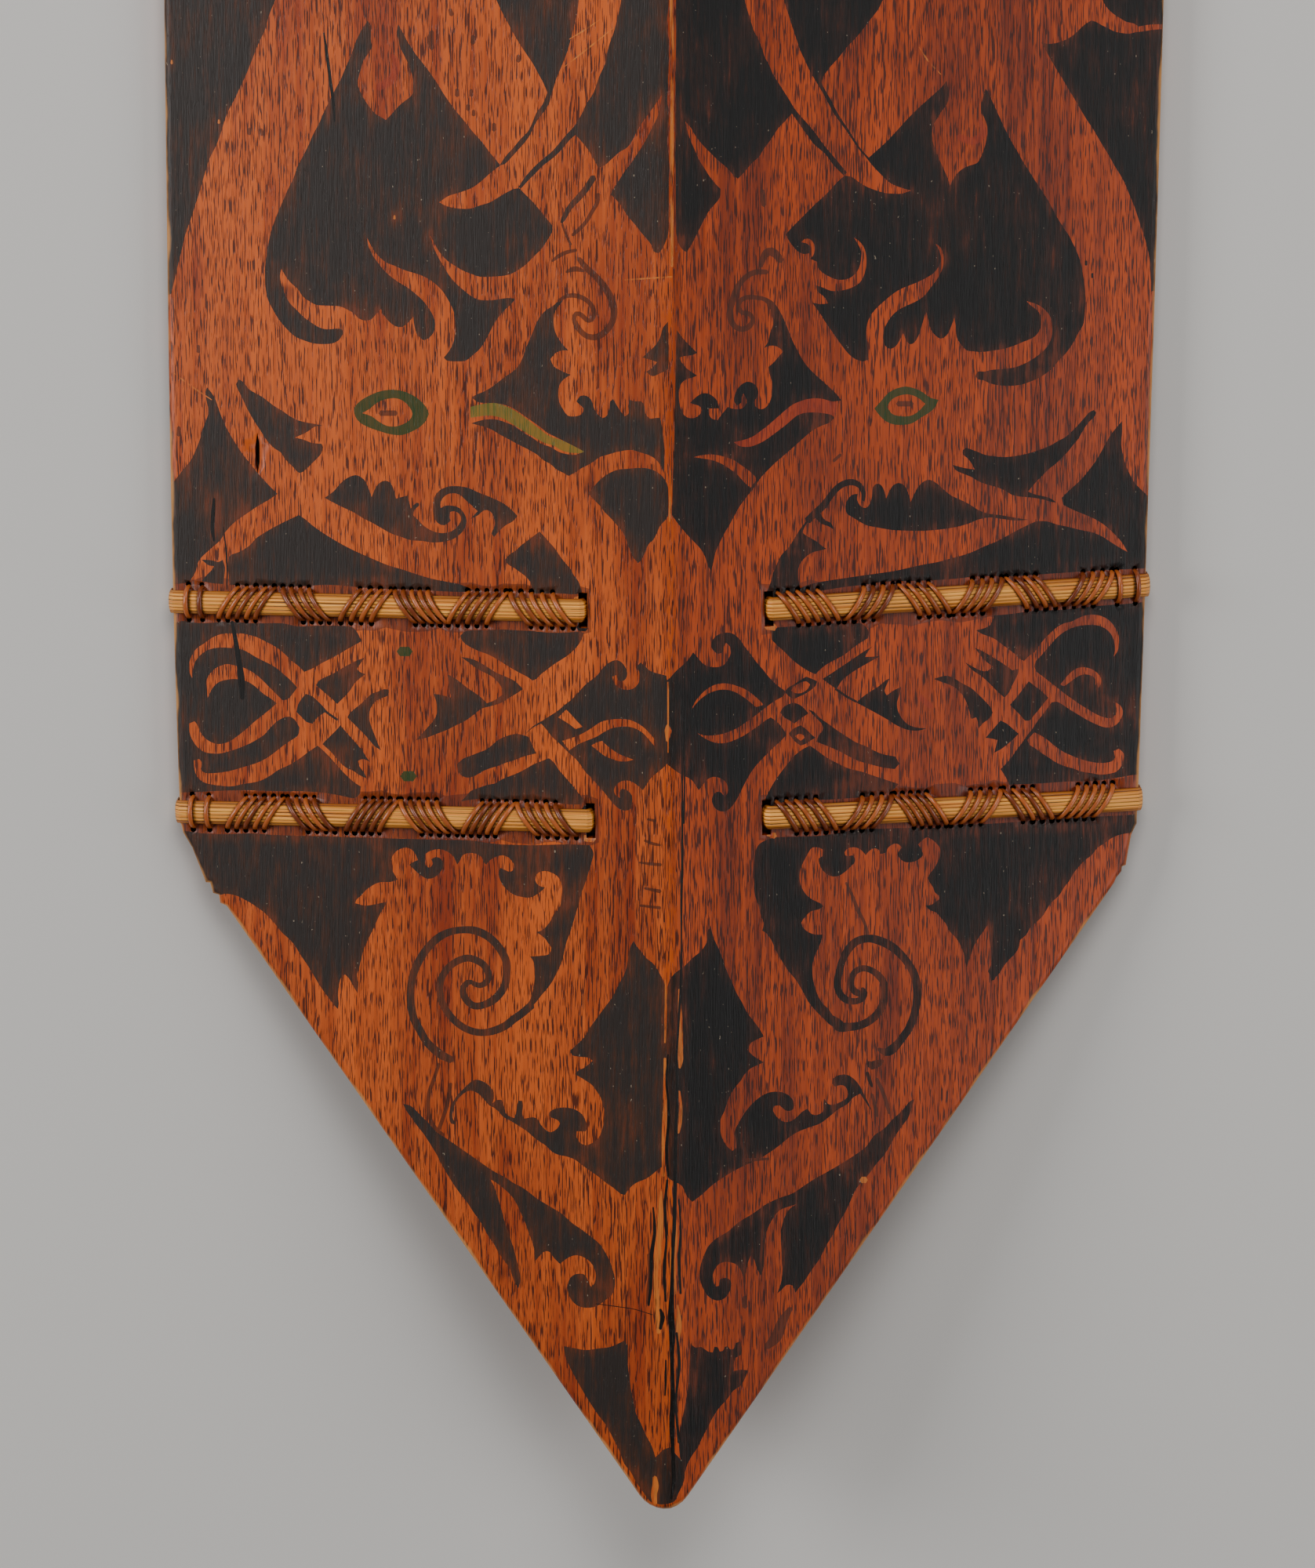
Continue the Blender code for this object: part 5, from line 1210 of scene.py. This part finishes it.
        # The other pigments are washes, and bare scratches only catch the grain's high parts.
        high = add("MapRange", (noise["grain"], 0.38, 0.56), **smooth)
        scratched = add("Math", (drawn[Pigment.BARE.value], high), **times)
        rim = add("Math", (noise["rim"], -0.004, drawn["edge_distance"]), **times_plus)
        raw = add("MapRange", (rim, -0.0023, -0.0009, 1.0, 0.0), **smooth)
        for amount, strength, shade in (
            (drawn[Pigment.WASH.value], 0.78, self.wash),
            (drawn[Pigment.GREEN.value], 0.9, self.green),
            (drawn[Pigment.OLIVE.value], 0.70, self.olive),
            (drawn[Pigment.RED.value], 0.45, self.red),
            # Near black for the cracks, and as painted shade in the lashing holes.
            (drawn[Pigment.CRACK_AND_HOLE_SHADE.value], 1.0, self.crack_and_hole_shade),
            (scratched, 0.7, self.bare),
            (raw, 0.8, self.raw_edge),
        ):
            amount = add("Math", (amount, strength), **times)
            base = add("Mix", {0: amount, 6: base, 7: colour(shade)}, 2, **blend)

        roughness = add("Math", (fine, 0.16, 0.30), **times_plus)
        roughness = add("Math", (black, 0.10, roughness), **times_plus)
        # Sunk pores, furrows under the paint and a faint ripple along the grain.
        furrow = add("Math", (noise["pores"], -1.4, 0.7), **times_plus)
        sunk = add("Math", (furrow, black), **times)
        sunk = add("Math", (sunk, pore), **less)
        height = add("Math", (sunk, 0.10, add("Math", (fine, 0.12), **times)), **times_plus)
        inputs = {"Strength": 0.55, "Distance": 0.0012, "Height": height}
        return n.finish(
            Base_Color=base, Roughness=roughness, Normal=add("Bump", inputs, "Normal"),
            Specular_IOR_Level=0.3, Coat_Weight=0.04, Coat_Roughness=0.25,
        )


@dataclass(frozen=True)
class CaneFinish:
    """Split rattan cane, honey yellow: to the eye, dark lines run between its fibres."""

    light: str = "FFB450"
    dark: str = "D27C2C"
    line: str = "3A1B08"
    flank: str = "7A3A10"

    def make(self) -> bpy.types.Material:
        """Builds the material over the canes' point attributes.

        Returns:
            The material.
        """
        n = Nodes("split_cane")
        add = n.add
        times, smooth = {"operation": "MULTIPLY"}, {"interpolation_type": "SMOOTHSTEP"}
        blend = {"data_type": "RGBA"}
        across, along, soot_and_shade = (
            add("Attribute", output="Fac", attribute_name=name)
            for name in ("across", "along", "soot_and_shade")
        )
        place = (add("Math", (across, 7.0), **times), add("Math", (along, 16.0), **times))
        place = add("CombineXYZ", place)
        cloud = add("TexNoise", {"Vector": place, "Scale": 1.0, "Detail": 4.0}, "Fac")
        share = add("MapRange", (cloud, 0.35, 0.68), **smooth)
        base = add("Mix", {0: share, 6: colour(self.dark), 7: colour(self.light)}, 2, **blend)
        # Five or six dark lines between the fibres, waving a little.
        wave = add("Math", (cloud, 0.9), **times)
        wave = add("Math", (across, 3.0, wave), operation="MULTIPLY_ADD")
        ridge = add("Math", (add("Math", (wave, math.pi), **times),), operation="SINE")
        ridge = add("Math", (ridge,), operation="ABSOLUTE")
        breaks = add("TexNoise", {"Vector": place, "Scale": 2.3, "Detail": 3.0}, "Fac")
        breaks = add("MapRange", (breaks, 0.34, 0.56), **smooth)
        line = add("MapRange", (ridge, 0.08, 0.46, 1.0, 0.0), **smooth)
        line = add("Math", (line, breaks), **times)
        # The skin is browner towards both edges, and soot and painted shade darken it between and beside the strands.
        flank = add("Math", (across,), operation="ABSOLUTE")
        flank = add("MapRange", (flank, 0.50, 1.0), **smooth)
        coats = ((line, 0.9, self.line), (flank, 0.66, self.flank), (soot_and_shade, 0.9, self.line))
        for amount, strength, shade in coats:
            amount = add("Math", (amount, strength), **times)
            base = add("Mix", {0: amount, 6: base, 7: colour(shade)}, 2, **blend)
        height = add("Math", (line, -0.6, ridge), operation="MULTIPLY_ADD")
        inputs = {"Strength": 0.6, "Distance": 0.0005, "Height": height}
        return n.finish(
            Base_Color=base, Normal=add("Bump", inputs, "Normal"), Roughness=0.36,
            Specular_IOR_Level=0.32,
        )


@dataclass(frozen=True)
class RattanFinish:
    """Glossy split rattan strands, stained red-brown: to the eye, each wrap has its own shade."""

    light: str = "AC5824"
    dark: str = "6C2E10"
    edge: str = "2A1006"

    def make(self) -> bpy.types.Material:
        """Builds the material over the strands' point attributes.

        Returns:
            The material.
        """
        n = Nodes("lashing_rattan")
        add = n.add
        times, smooth = {"operation": "MULTIPLY"}, {"interpolation_type": "SMOOTHSTEP"}
        blend = {"data_type": "RGBA"}
        strand = add("Attribute", output="Fac", attribute_name="strand")
        across = add("Attribute", output="Fac", attribute_name="across")
        place = add("TexCoord", output="Object")
        noises = []
        for scale, detail in ((160.0, 3.0), (900.0, 2.0)):
            vector = add("VectorMath", (place, (scale, scale, scale)), **times)
            inputs = {"Vector": vector, "Scale": 1.0, "Detail": detail}
            noises.append(add("TexNoise", inputs, "Fac"))
        cloud, fibres = noises
        shade = add("Math", (cloud, 0.6), **times)
        shade = add("Math", (strand, 0.6, shade), operation="MULTIPLY_ADD")
        share = add("MapRange", (shade, 0.25, 0.85), **smooth)
        base = add("Mix", {0: share, 6: colour(self.dark), 7: colour(self.light)}, 2, **blend)
        edge = add("Math", (across,), operation="ABSOLUTE")
        edge = add("MapRange", (edge, 0.55, 1.0), **smooth)
        edge = add("Math", (edge, 0.75), **times)
        base = add("Mix", {0: edge, 6: base, 7: colour(self.edge)}, 2, **blend)
        inputs = {"Strength": 0.25, "Distance": 0.0003, "Height": fibres}
        return n.finish(Base_Color=base, Normal=add("Bump", inputs, "Normal"), Roughness=0.28)


@dataclass
class BoardPiece:
    """The board with its painting and its grip, as one mesh."""

    bands: list
    arris: float = 0.0012
    arris_drop: float = 0.0007
    hole_depth: float = 0.003

    def painting(self) -> list:
        """The painting, in the order in which it was laid on.

        Returns:
            Pairs of a pigment and its loops.
        """
        grime = [band.grime_loop() for band in self.bands if band.edge_y < 0]
        return [
            (Pigment.GRIME, grime),
            (Pigment.BLACK, areas(BLACK_LEFT) + areas(BLACK_RIGHT)),
            (Pigment.WOOD, areas(BLACK_HOLES)),
            (Pigment.BLACK, strokes(BLACK_STROKES)),
            (Pigment.WASH, strokes(WASH_STROKES)),
            (Pigment.OLIVE, areas(OLIVE_LEAF)),
            (Pigment.RED, areas(RED_LEAF)),
            (Pigment.GREEN, areas(GREEN_EYES) + strokes(GREEN_STROKES)),
            (Pigment.WOOD, areas(EYE_INNERS)),
            (Pigment.WASH, strokes(PUPILS)),
            (Pigment.RED, strokes(RED_STROKES)),
            (Pigment.BARE, strokes(BARE_STREAKS)),
            (Pigment.CRACK_AND_HOLE_SHADE, strokes(CRACKS)),
        ]

    def split_loop(self) -> np.ndarray:
        """The narrow split that goes right through the left wing."""
        leaf = np.array(((0, -8), (0.85, -3.2), (0.85, 3.2), (0, 8), (-0.85, 2.4), (-0.85, -4)))
        return leaf * MM + np.array((-0.1552, -0.2235))

    def grip(self) -> tuple:
        """The hand grip behind the ridge: a bar whose ends widen into the board.

        Returns:
            Points and faces, with both ends shut.
        """
        under, over, root, half_gap, half = 0.003, 0.027, 0.0485, 0.0625, 0.100
        y = np.array((
            -half, -0.097, -0.092, -0.086, -0.081, -0.0775, -0.073, -0.066, -0.0630, -0.0620,
            -0.050, -0.03, 0.0,
        ))
        y = np.concatenate((y, -y[-2::-1]))
        away = np.abs(y)
        low = under + np.interp(away, (0.0765, 0.082, 0.090, half), (0.0, 0.0035, 0.0155, 0.0355))
        high = np.where(away > half_gap, root, over)
        wide = 0.015 + 0.007 * (away / half) ** 3
        turn = np.linspace(0, 2 * math.pi, 29)[:-1]
        # A rounded rectangle: each axis is a signed root of the circle's.
        across = np.sign(np.cos(turn)) * np.abs(np.cos(turn)) ** 0.45
        rise = np.sign(np.sin(turn)) * np.abs(np.sin(turn)) ** 0.45
        x = BOARD.ridge_x + wide[:, None] * across
        z = (low + high)[:, None] / 2 + (high - low)[:, None] / 2 * rise
        points = np.stack((x, np.broadcast_to(y[:, None], x.shape), z), -1).reshape(-1, 3)
        return points, sweep(x.shape)

    def build(self) -> bpy.types.Object:
        """Builds the piece.

        Returns:
            The board.
        """
        outline = board_outline()
        gaps = [self.split_loop()] + [band.slot_loop() for band in self.bands]
        painting = self.painting()
        holes = hole_places(self.bands)
        loops = [shrunk(outline, self.arris), shrunk(outline, 2 * self.arris)]
        for _, shapes in painting:
            loops += shapes + [shape * (1, -1) for shape in shapes]
        turn = np.linspace(0, 2 * math.pi, 9)[:-1]
        circle = np.stack((np.cos(turn), np.sin(turn)), 1)
        loops += [row[:2] + circle * row[2] for row in holes]
        edges = np.stack((np.full(315, BOARD.ridge_x), np.linspace(-0.62, 0.62, 315)), 1)
        crest = [edges + (dx, 0) for dx in (-0.0016, -0.0008, 0.0, 0.0008, 0.0016)]
        loose = np.concatenate([grid(0.0055, outline, 0.004), holes[:, :2], *crest])
        front = Sheet.cut(outline, gaps, loops, loose)
        # The back takes the front's edge points too, so that the walls between them close.
        edge_points = front.points[np.unique(front.rim())]
        inner = np.concatenate([grid(0.014, outline, 0.006), edge_points])
        back = Sheet.cut(outline, gaps, [shrunk(outline, self.arris)], inner)
        return self.assemble(outline, holes, painting, front, back)

    def assemble(
        self, outline: np.ndarray, holes: np.ndarray, painting: list, front: Sheet, back: Sheet
    ) -> bpy.types.Object:
        """Joins the front, the rim, the back and the grip, and stores the painting.

        Args:
            outline: The board's edge.
            holes: Rows of X, Y and radius.
            painting: Pigments with their loops.
            front, back: The two sheets.

        Returns:
            The board.
        """
        distance = edge_distance(front.points, outline)
        z = BOARD.front(front.points[:, 0])
        z = z - self.arris_drop * np.clip(1 - distance / self.arris, 0, 1) ** 2
        for x, y, radius in holes:
            near = (np.abs(front.points - (x, y)) < radius).all(1)
            off = np.linalg.norm(front.points[near] - (x, y), axis=1)
            z[near] -= self.hole_depth * np.clip(1 - (off / radius) ** 2, 0, 1)
        top = np.column_stack((front.points, z))
        away = edge_distance(back.points, outline)
        low = BOARD.back(back.points[:, 0])
        low = low + self.arris_drop * np.clip(1 - away / self.arris, 0, 1) ** 2
        bottom = np.column_stack((back.points, low))
        # Each wall stands on the back sheet's own edge points, so the shell is closed.
        rim = front.rim()
        ids = np.unique(rim)
        gap = front.points[ids, None] - back.points[None]
        nearest = (gap ** 2).sum(2).argmin(1)
        under = len(top)
        foot = np.zeros(len(top), int)
        foot[ids] = under + nearest
        a, b = rim[:, 0], rim[:, 1]
        walls = np.stack((b, a, foot[a], foot[b]), 1)
        grip_points, grip_faces = self.grip()
        points = np.concatenate((top, bottom, grip_points))
        faces = [*front.faces, *walls, *(back.faces[:, ::-1] + under)]
        faces += [np.array(face[::-1]) + under + len(bottom) for face in grip_faces]
        middle = front.points[front.faces].mean(1)
        seen = np.stack((middle[:, 0], -np.abs(middle[:, 1])), 1)
        layer = np.zeros(len(seen), int)
        order_of = list(Pigment)
        for pigment, shapes in painting:
            for shape in shapes:
                layer[inside(seen, shape)] = order_of.index(pigment)
        # The lashing holes take the near-black crack colour as painted shade for their depth.
        for x, y, radius in holes:
            near = np.linalg.norm(middle - (x, y), axis=1) < radius
            layer[near] = order_of.index(Pigment.CRACK_AND_HOLE_SHADE)
        smooth = np.ones(len(faces), bool)
        smooth[:len(layer)] = layer != order_of.index(Pigment.CRACK_AND_HOLE_SHADE)
        smooth[len(layer):len(layer) + len(walls)] = False
        board = mesh_object("board", points, faces, smooth)
        total = np.zeros(len(faces))
        for number, pigment in enumerate(order_of[1:], 1):
            values = total.copy()
            values[:len(layer)] = layer == number
            set_attribute(board, pigment.value, "FACE", values)
        reach = np.full(len(points), 0.02)
        reach[:len(top)] = distance
        reach[foot[ids]] = 0.004
        set_attribute(board, "edge_distance", "POINT", reach)
        depth = np.zeros(len(points))
        depth[:len(top)] = nearest_distance(front.points, painting)
        set_attribute(board, "paint_depth", "POINT", depth)
        board.data.materials.append(WoodFinish().make())
        return board


def sweep(rings: np.ndarray) -> list:
    """Faces of a closed tube through rings of the same count, with both ends shut.

    Args:
        rings: The number of rings and of points in each.

    Returns:
        Rows of point numbers.
    """
    count, size = rings
    row, col = np.meshgrid(np.arange(count - 1), np.arange(size), indexing="ij")
    a = row * size + col
    b = row * size + (col + 1) % size
    faces = [*np.stack((a, b, b + size, a + size), -1).reshape(-1, 4).tolist()]
    faces.append(list(range(size))[::-1])
    faces.append(list(range((count - 1) * size, count * size)))
    return faces


@dataclass
class CanePiece:
    """One split cane, folded round the side edge with both ends in its slot."""

    band: BandAxes
    width: float = 0.0088
    step: float = 0.0006

    def stations(self) -> np.ndarray:
        """The cane's path, from one end in the slot round the side edge to the other.

        Returns:
            Rows of s and h for the flat side, then for the crowned side.
        """
        band = self.band
        gap, rim_gap, rim, leg = CANE.gap, CANE.rim_gap, CANE.rim, CANE.leg
        front, back, depth = CANE.front, CANE.back, CANE.leg_depth
        wall = band.length - leg
        in_, up = band.corner
        under = band.back(wall) - gap
        taper, near = 4 * front, wall - 2 * front
        return np.array((
            (wall, -depth, wall + leg, -depth),
            (wall, 0.0, wall + leg, gap + 0.45 * front),
            (wall - gap, gap, wall + 0.4 * leg, gap + front),
            (near, gap, near, gap + front),
            (taper, gap, taper, gap + front),
            (0.5 * rim, gap, 0.4 * rim, gap + 1.3 * rim),
            (-rim_gap, 0.0, -rim_gap - rim, -0.3 * rim),
            (in_ - rim_gap, up, in_ - rim_gap - rim, up - 0.2 * rim),
            (in_ + 0.5 * rim, band.back(0.0) - rim_gap, in_ + 0.2 * rim, up - rim_gap - rim),
            (taper, band.back(taper) - gap, taper, band.back(taper) - gap - back),
            (near, band.back(near) - gap, near, under - back),
            (wall - gap, under, wall + 0.4 * leg, under - back),
            (wall, under + gap, wall + leg, under - 0.45 * back),
            (wall, under + depth, wall + leg, under + depth),
        ))

    def build(self, finish: bpy.types.Material) -> bpy.types.Object:
        """Builds the piece.

        Args:
            finish: Its material.

        Returns:
            The cane.
        """
        rows = self.stations()
        lengths = np.linalg.norm(np.diff(rows[:, 2:], axis=0), axis=1)
        reach = np.concatenate(((0.0,), np.cumsum(lengths)))
        fine = np.union1d(reach, np.arange(0.0, reach[-1], self.step))
        path = np.stack([np.interp(fine, reach, rows[:, i]) for i in range(4)], 1)
        across = np.linspace(-1, 1, 15)
        crown = 0.42 + 0.58 * (1 - np.abs(across) ** 2.6)
        # Shallow grooves between the fibres.
        crown = crown - 0.05 * np.abs(np.cos(across * 3.0 * math.pi)) ** 6
        across = np.concatenate(((-1.0,), across, (1.0,)))
        crown = np.concatenate(((0.0,), crown, (0.0,)))
        s = path[:, 0:1] + (path[:, 2:3] - path[:, 0:1]) * crown
        h = path[:, 1:2] + (path[:, 3:4] - path[:, 1:2]) * crown
        t = np.broadcast_to(across * self.width / 2, s.shape)
        points = self.band.points(s, t, h).reshape(-1, 3)
        faces = sweep(s.shape)
        cane = mesh_object("cane_strip_" + self.band.name, points, faces)
        middle = path[:, (0, 1)]
        steps = np.linalg.norm(np.diff(middle, axis=0), axis=1)
        along = np.concatenate(((0.0,), np.cumsum(steps)))
        offset = abs(hash_number(self.band.name))
        set_attribute(cane, "along", "POINT", np.repeat(along + offset, s.shape[1]))
        set_attribute(cane, "across", "POINT", np.tile(across, len(path)))
        # Soot and painted shade beside each strand on the front, and a flat painted shade where the cane is at the side
        # edge and behind the board.
        sign = self.band.side.value * (-1 if self.band.across[1] > 0 else 1)
        gap = np.full(s.shape, 1.0)
        for middle, run in self.band.wraps():
            gap = np.minimum(gap, np.abs(s - middle - run * sign * t / STRAND_CROSSING))
        soot_and_shade = 1 - np.clip((gap - 0.0010) / 0.0008, 0, 1)
        set_attribute(cane, "soot_and_shade", "POINT", np.where(h > 0, soot_and_shade, 0.2).ravel())
        cane.data.materials.append(finish)
        return cane


def hash_number(name: str) -> float:
    """A small number that differs from name to name and stays the same from run to run."""
    return sum((i + 1) * ord(c) for i, c in enumerate(name)) % 97 / 9.7


@dataclass
class LashingPiece:
    """The strand that binds one cane, wrap by wrap."""

    band: BandAxes
    width: float = 0.0018

    def over(self) -> np.ndarray:
        """(t, h) of the strand's middle as it crosses the cane's front, in mm."""
        half = numbers("-6,-3.2 -6,-.8 -5.8,.5 -5.2,1.8 -4.1,2.9 -2.4,3.7 0,4.15")
        return np.concatenate((half, half[-2::-1] * (-1, 1))) * MM

    def behind(self) -> np.ndarray:
        """(t, drop under the back face) of the strand's middle behind the board, in mm."""
        half = numbers("6,-2.5 6,-.2 5.5,.9 4.3,1.9 2.4,2.8 0,3.1")
        return np.concatenate((half, half[-2::-1] * (-1, 1))) * MM

    def strap(self, s: np.ndarray, t: np.ndarray, h: np.ndarray) -> np.ndarray:
        """A crowned strip along a path given in the band's axes.

        Args:
            s, t, h: The path.

        Returns:
            Rings of s, t and h.
        """
        path = np.stack((s, t, h), 1)
        tangent = np.gradient(path, axis=0)
        tangent /= np.linalg.norm(tangent, axis=1)[:, None]
        wide = np.array((1.0, 0.0, 0.0)) - tangent * tangent[:, :1]
        wide /= np.linalg.norm(wide, axis=1)[:, None]
        out = np.cross(tangent, wide)
        out *= np.sign(out[len(out) // 2, 2]) * (1 if h[len(h) // 2] > 0 else -1)
        section = numbers("-.5,-.36 -.5,.0 -.38,.32 -.2,.5 0,.56 .2,.5 .38,.32 .5,.0 .5,-.36")
        rings = path[:, None] + wide[:, None] * section[None, :, :1] * self.width
        return rings + out[:, None] * section[None, :, 1:] * MM

    def build(self, finish: bpy.types.Material) -> bpy.types.Object:
        """Builds the piece.

        Args:
            finish: Its material.

        Returns:
            The lashing.
        """
        rng = np.random.default_rng(int(hash_number(self.band.name) * 10))
        wraps = self.band.wraps()
        sign = self.band.side.value * (-1 if self.band.across[1] > 0 else 1)
        over, behind = self.over(), self.behind()
        points, faces, strand, edge = [], [], [], []
        count = 0
        for i, (middle, run) in enumerate(wraps):
            lean = run * sign
            shift = rng.normal(0, 0.00012)
            share = np.clip(over[:, 0] / STRAND_CROSSING, -0.5, 0.5)
            rings = [self.strap(middle + shift + lean * share, over[:, 0], over[:, 1])]
            if i + 1 < len(wraps):
                start = middle + lean / 2
                end = wraps[i + 1][0] - wraps[i + 1][1] * sign / 2
                share = np.clip(0.5 - behind[:, 0] / STRAND_CROSSING, 0, 1)
                s = start + (end - start) * share
                rings.append(self.strap(s, behind[:, 0], self.band.back(s) - behind[:, 1]))
            shade = rng.random()
            for ring in rings:
                flat = ring.reshape(-1, 3)
                points.append(self.band.points(flat[:, 0], flat[:, 1], flat[:, 2]))
                faces += [[v + count for v in face] for face in sweep(ring.shape[:2])]
                strand.append(np.full(len(flat), shade))
                edge.append(np.tile(np.linspace(-1, 1, 9), ring.shape[0]))
                count += len(flat)
        lashing = mesh_object("lashing_strands_" + self.band.name, np.concatenate(points), faces)
        set_attribute(lashing, "strand", "POINT", np.concatenate(strand))
        set_attribute(lashing, "across", "POINT", np.concatenate(edge))
        lashing.data.materials.append(finish)
        return lashing


@dataclass(frozen=True)
class Studio:
    """A pale floor and soft lights; the key light stands to the left."""

    floor_colour: str = "C9C6C2"
    aim: tuple = (0.0, -0.3, 0.0)
    surroundings: float = 0.17

    def build_floor(self) -> bpy.types.Object:
        """Builds the floor that the shield lies on, a hair under it so that the two don't meet.

        Returns:
            The floor.
        """
        half, drop = 6.0, -0.0002
        plan = ((-half, -half), (half, -half), (half, half), (-half, half))
        corners = np.array([(x, y, drop) for x, y in plan])
        floor = mesh_object("floor", corners, [(0, 1, 2, 3)])
        n = Nodes("paper_floor")
        n.finish(Base_Color=colour(self.floor_colour), Roughness=0.9)
        floor.data.materials.append(n.material)
        return floor

    def add_light(
        self, name: str, place: tuple, size: float, power: float, specular: float
    ) -> bpy.types.Object:
        """A square soft light turned towards the photographed half.

        Args:
            name: Its name.
            place: Where it hangs.
            size: Its side in metres.
            power: Its power in watts.
            specular: Its share in the gloss.

        Returns:
            The light.
        """
        data = bpy.data.lights.new(name, "AREA")
        data.size = size
        data.energy = power
        data.specular_factor = specular
        lamp = bpy.data.objects.new(name, data)
        lamp.location = place
        aim = Vector(self.aim) - Vector(place)
        lamp.rotation_euler = aim.to_track_quat("-Z", "Y").to_euler()
        bpy.context.scene.collection.objects.link(lamp)
        return lamp

    def build(self) -> None:
        """Sets the floor, the lights and the surroundings."""
        self.build_floor()
        self.add_light("key", (-2.3, 0.1, 1.3), 1.2, 44.0, 0.42)
        self.add_light("top", (0.2, 1.5, 2.1), 1.4, 40.0, 0.4)
        self.add_light("fill", (2.2, -0.6, 1.4), 1.6, 26.0, 0.1)
        world = bpy.data.worlds.new("studio")
        world.use_nodes = True
        back = world.node_tree.nodes["Background"]
        back.inputs["Color"].default_value = (1.0, 1.0, 1.0, 1.0)
        back.inputs["Strength"].default_value = self.surroundings
        bpy.context.scene.world = world


def attach(piece: bpy.types.Object, node: str) -> None:
    """Ties a finished piece to the CAD part and reports it.

    Args:
        piece: The piece.
        node: The CAD node that it replaces.
    """
    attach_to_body(piece, "root")
    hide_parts(node)
    LOG.info("%s: %d faces", piece.name, len(piece.data.polygons))


def main() -> None:
    """Builds every piece in order, then the studio."""
    logging.basicConfig(level=logging.INFO)
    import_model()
    bands = [BandAxes(*band) for band in BANDS]
    attach(BoardPiece(bands).build(), "board_and_grip")
    cane, rattan = CaneFinish().make(), RattanFinish().make()
    for band in bands:
        attach(CanePiece(band).build(cane), "cane_" + band.name)
        attach(LashingPiece(band).build(rattan), "lashing_" + band.name)
    Studio().build()
    PHOTO.make_camera()


if __name__ == "__main__":
    main()
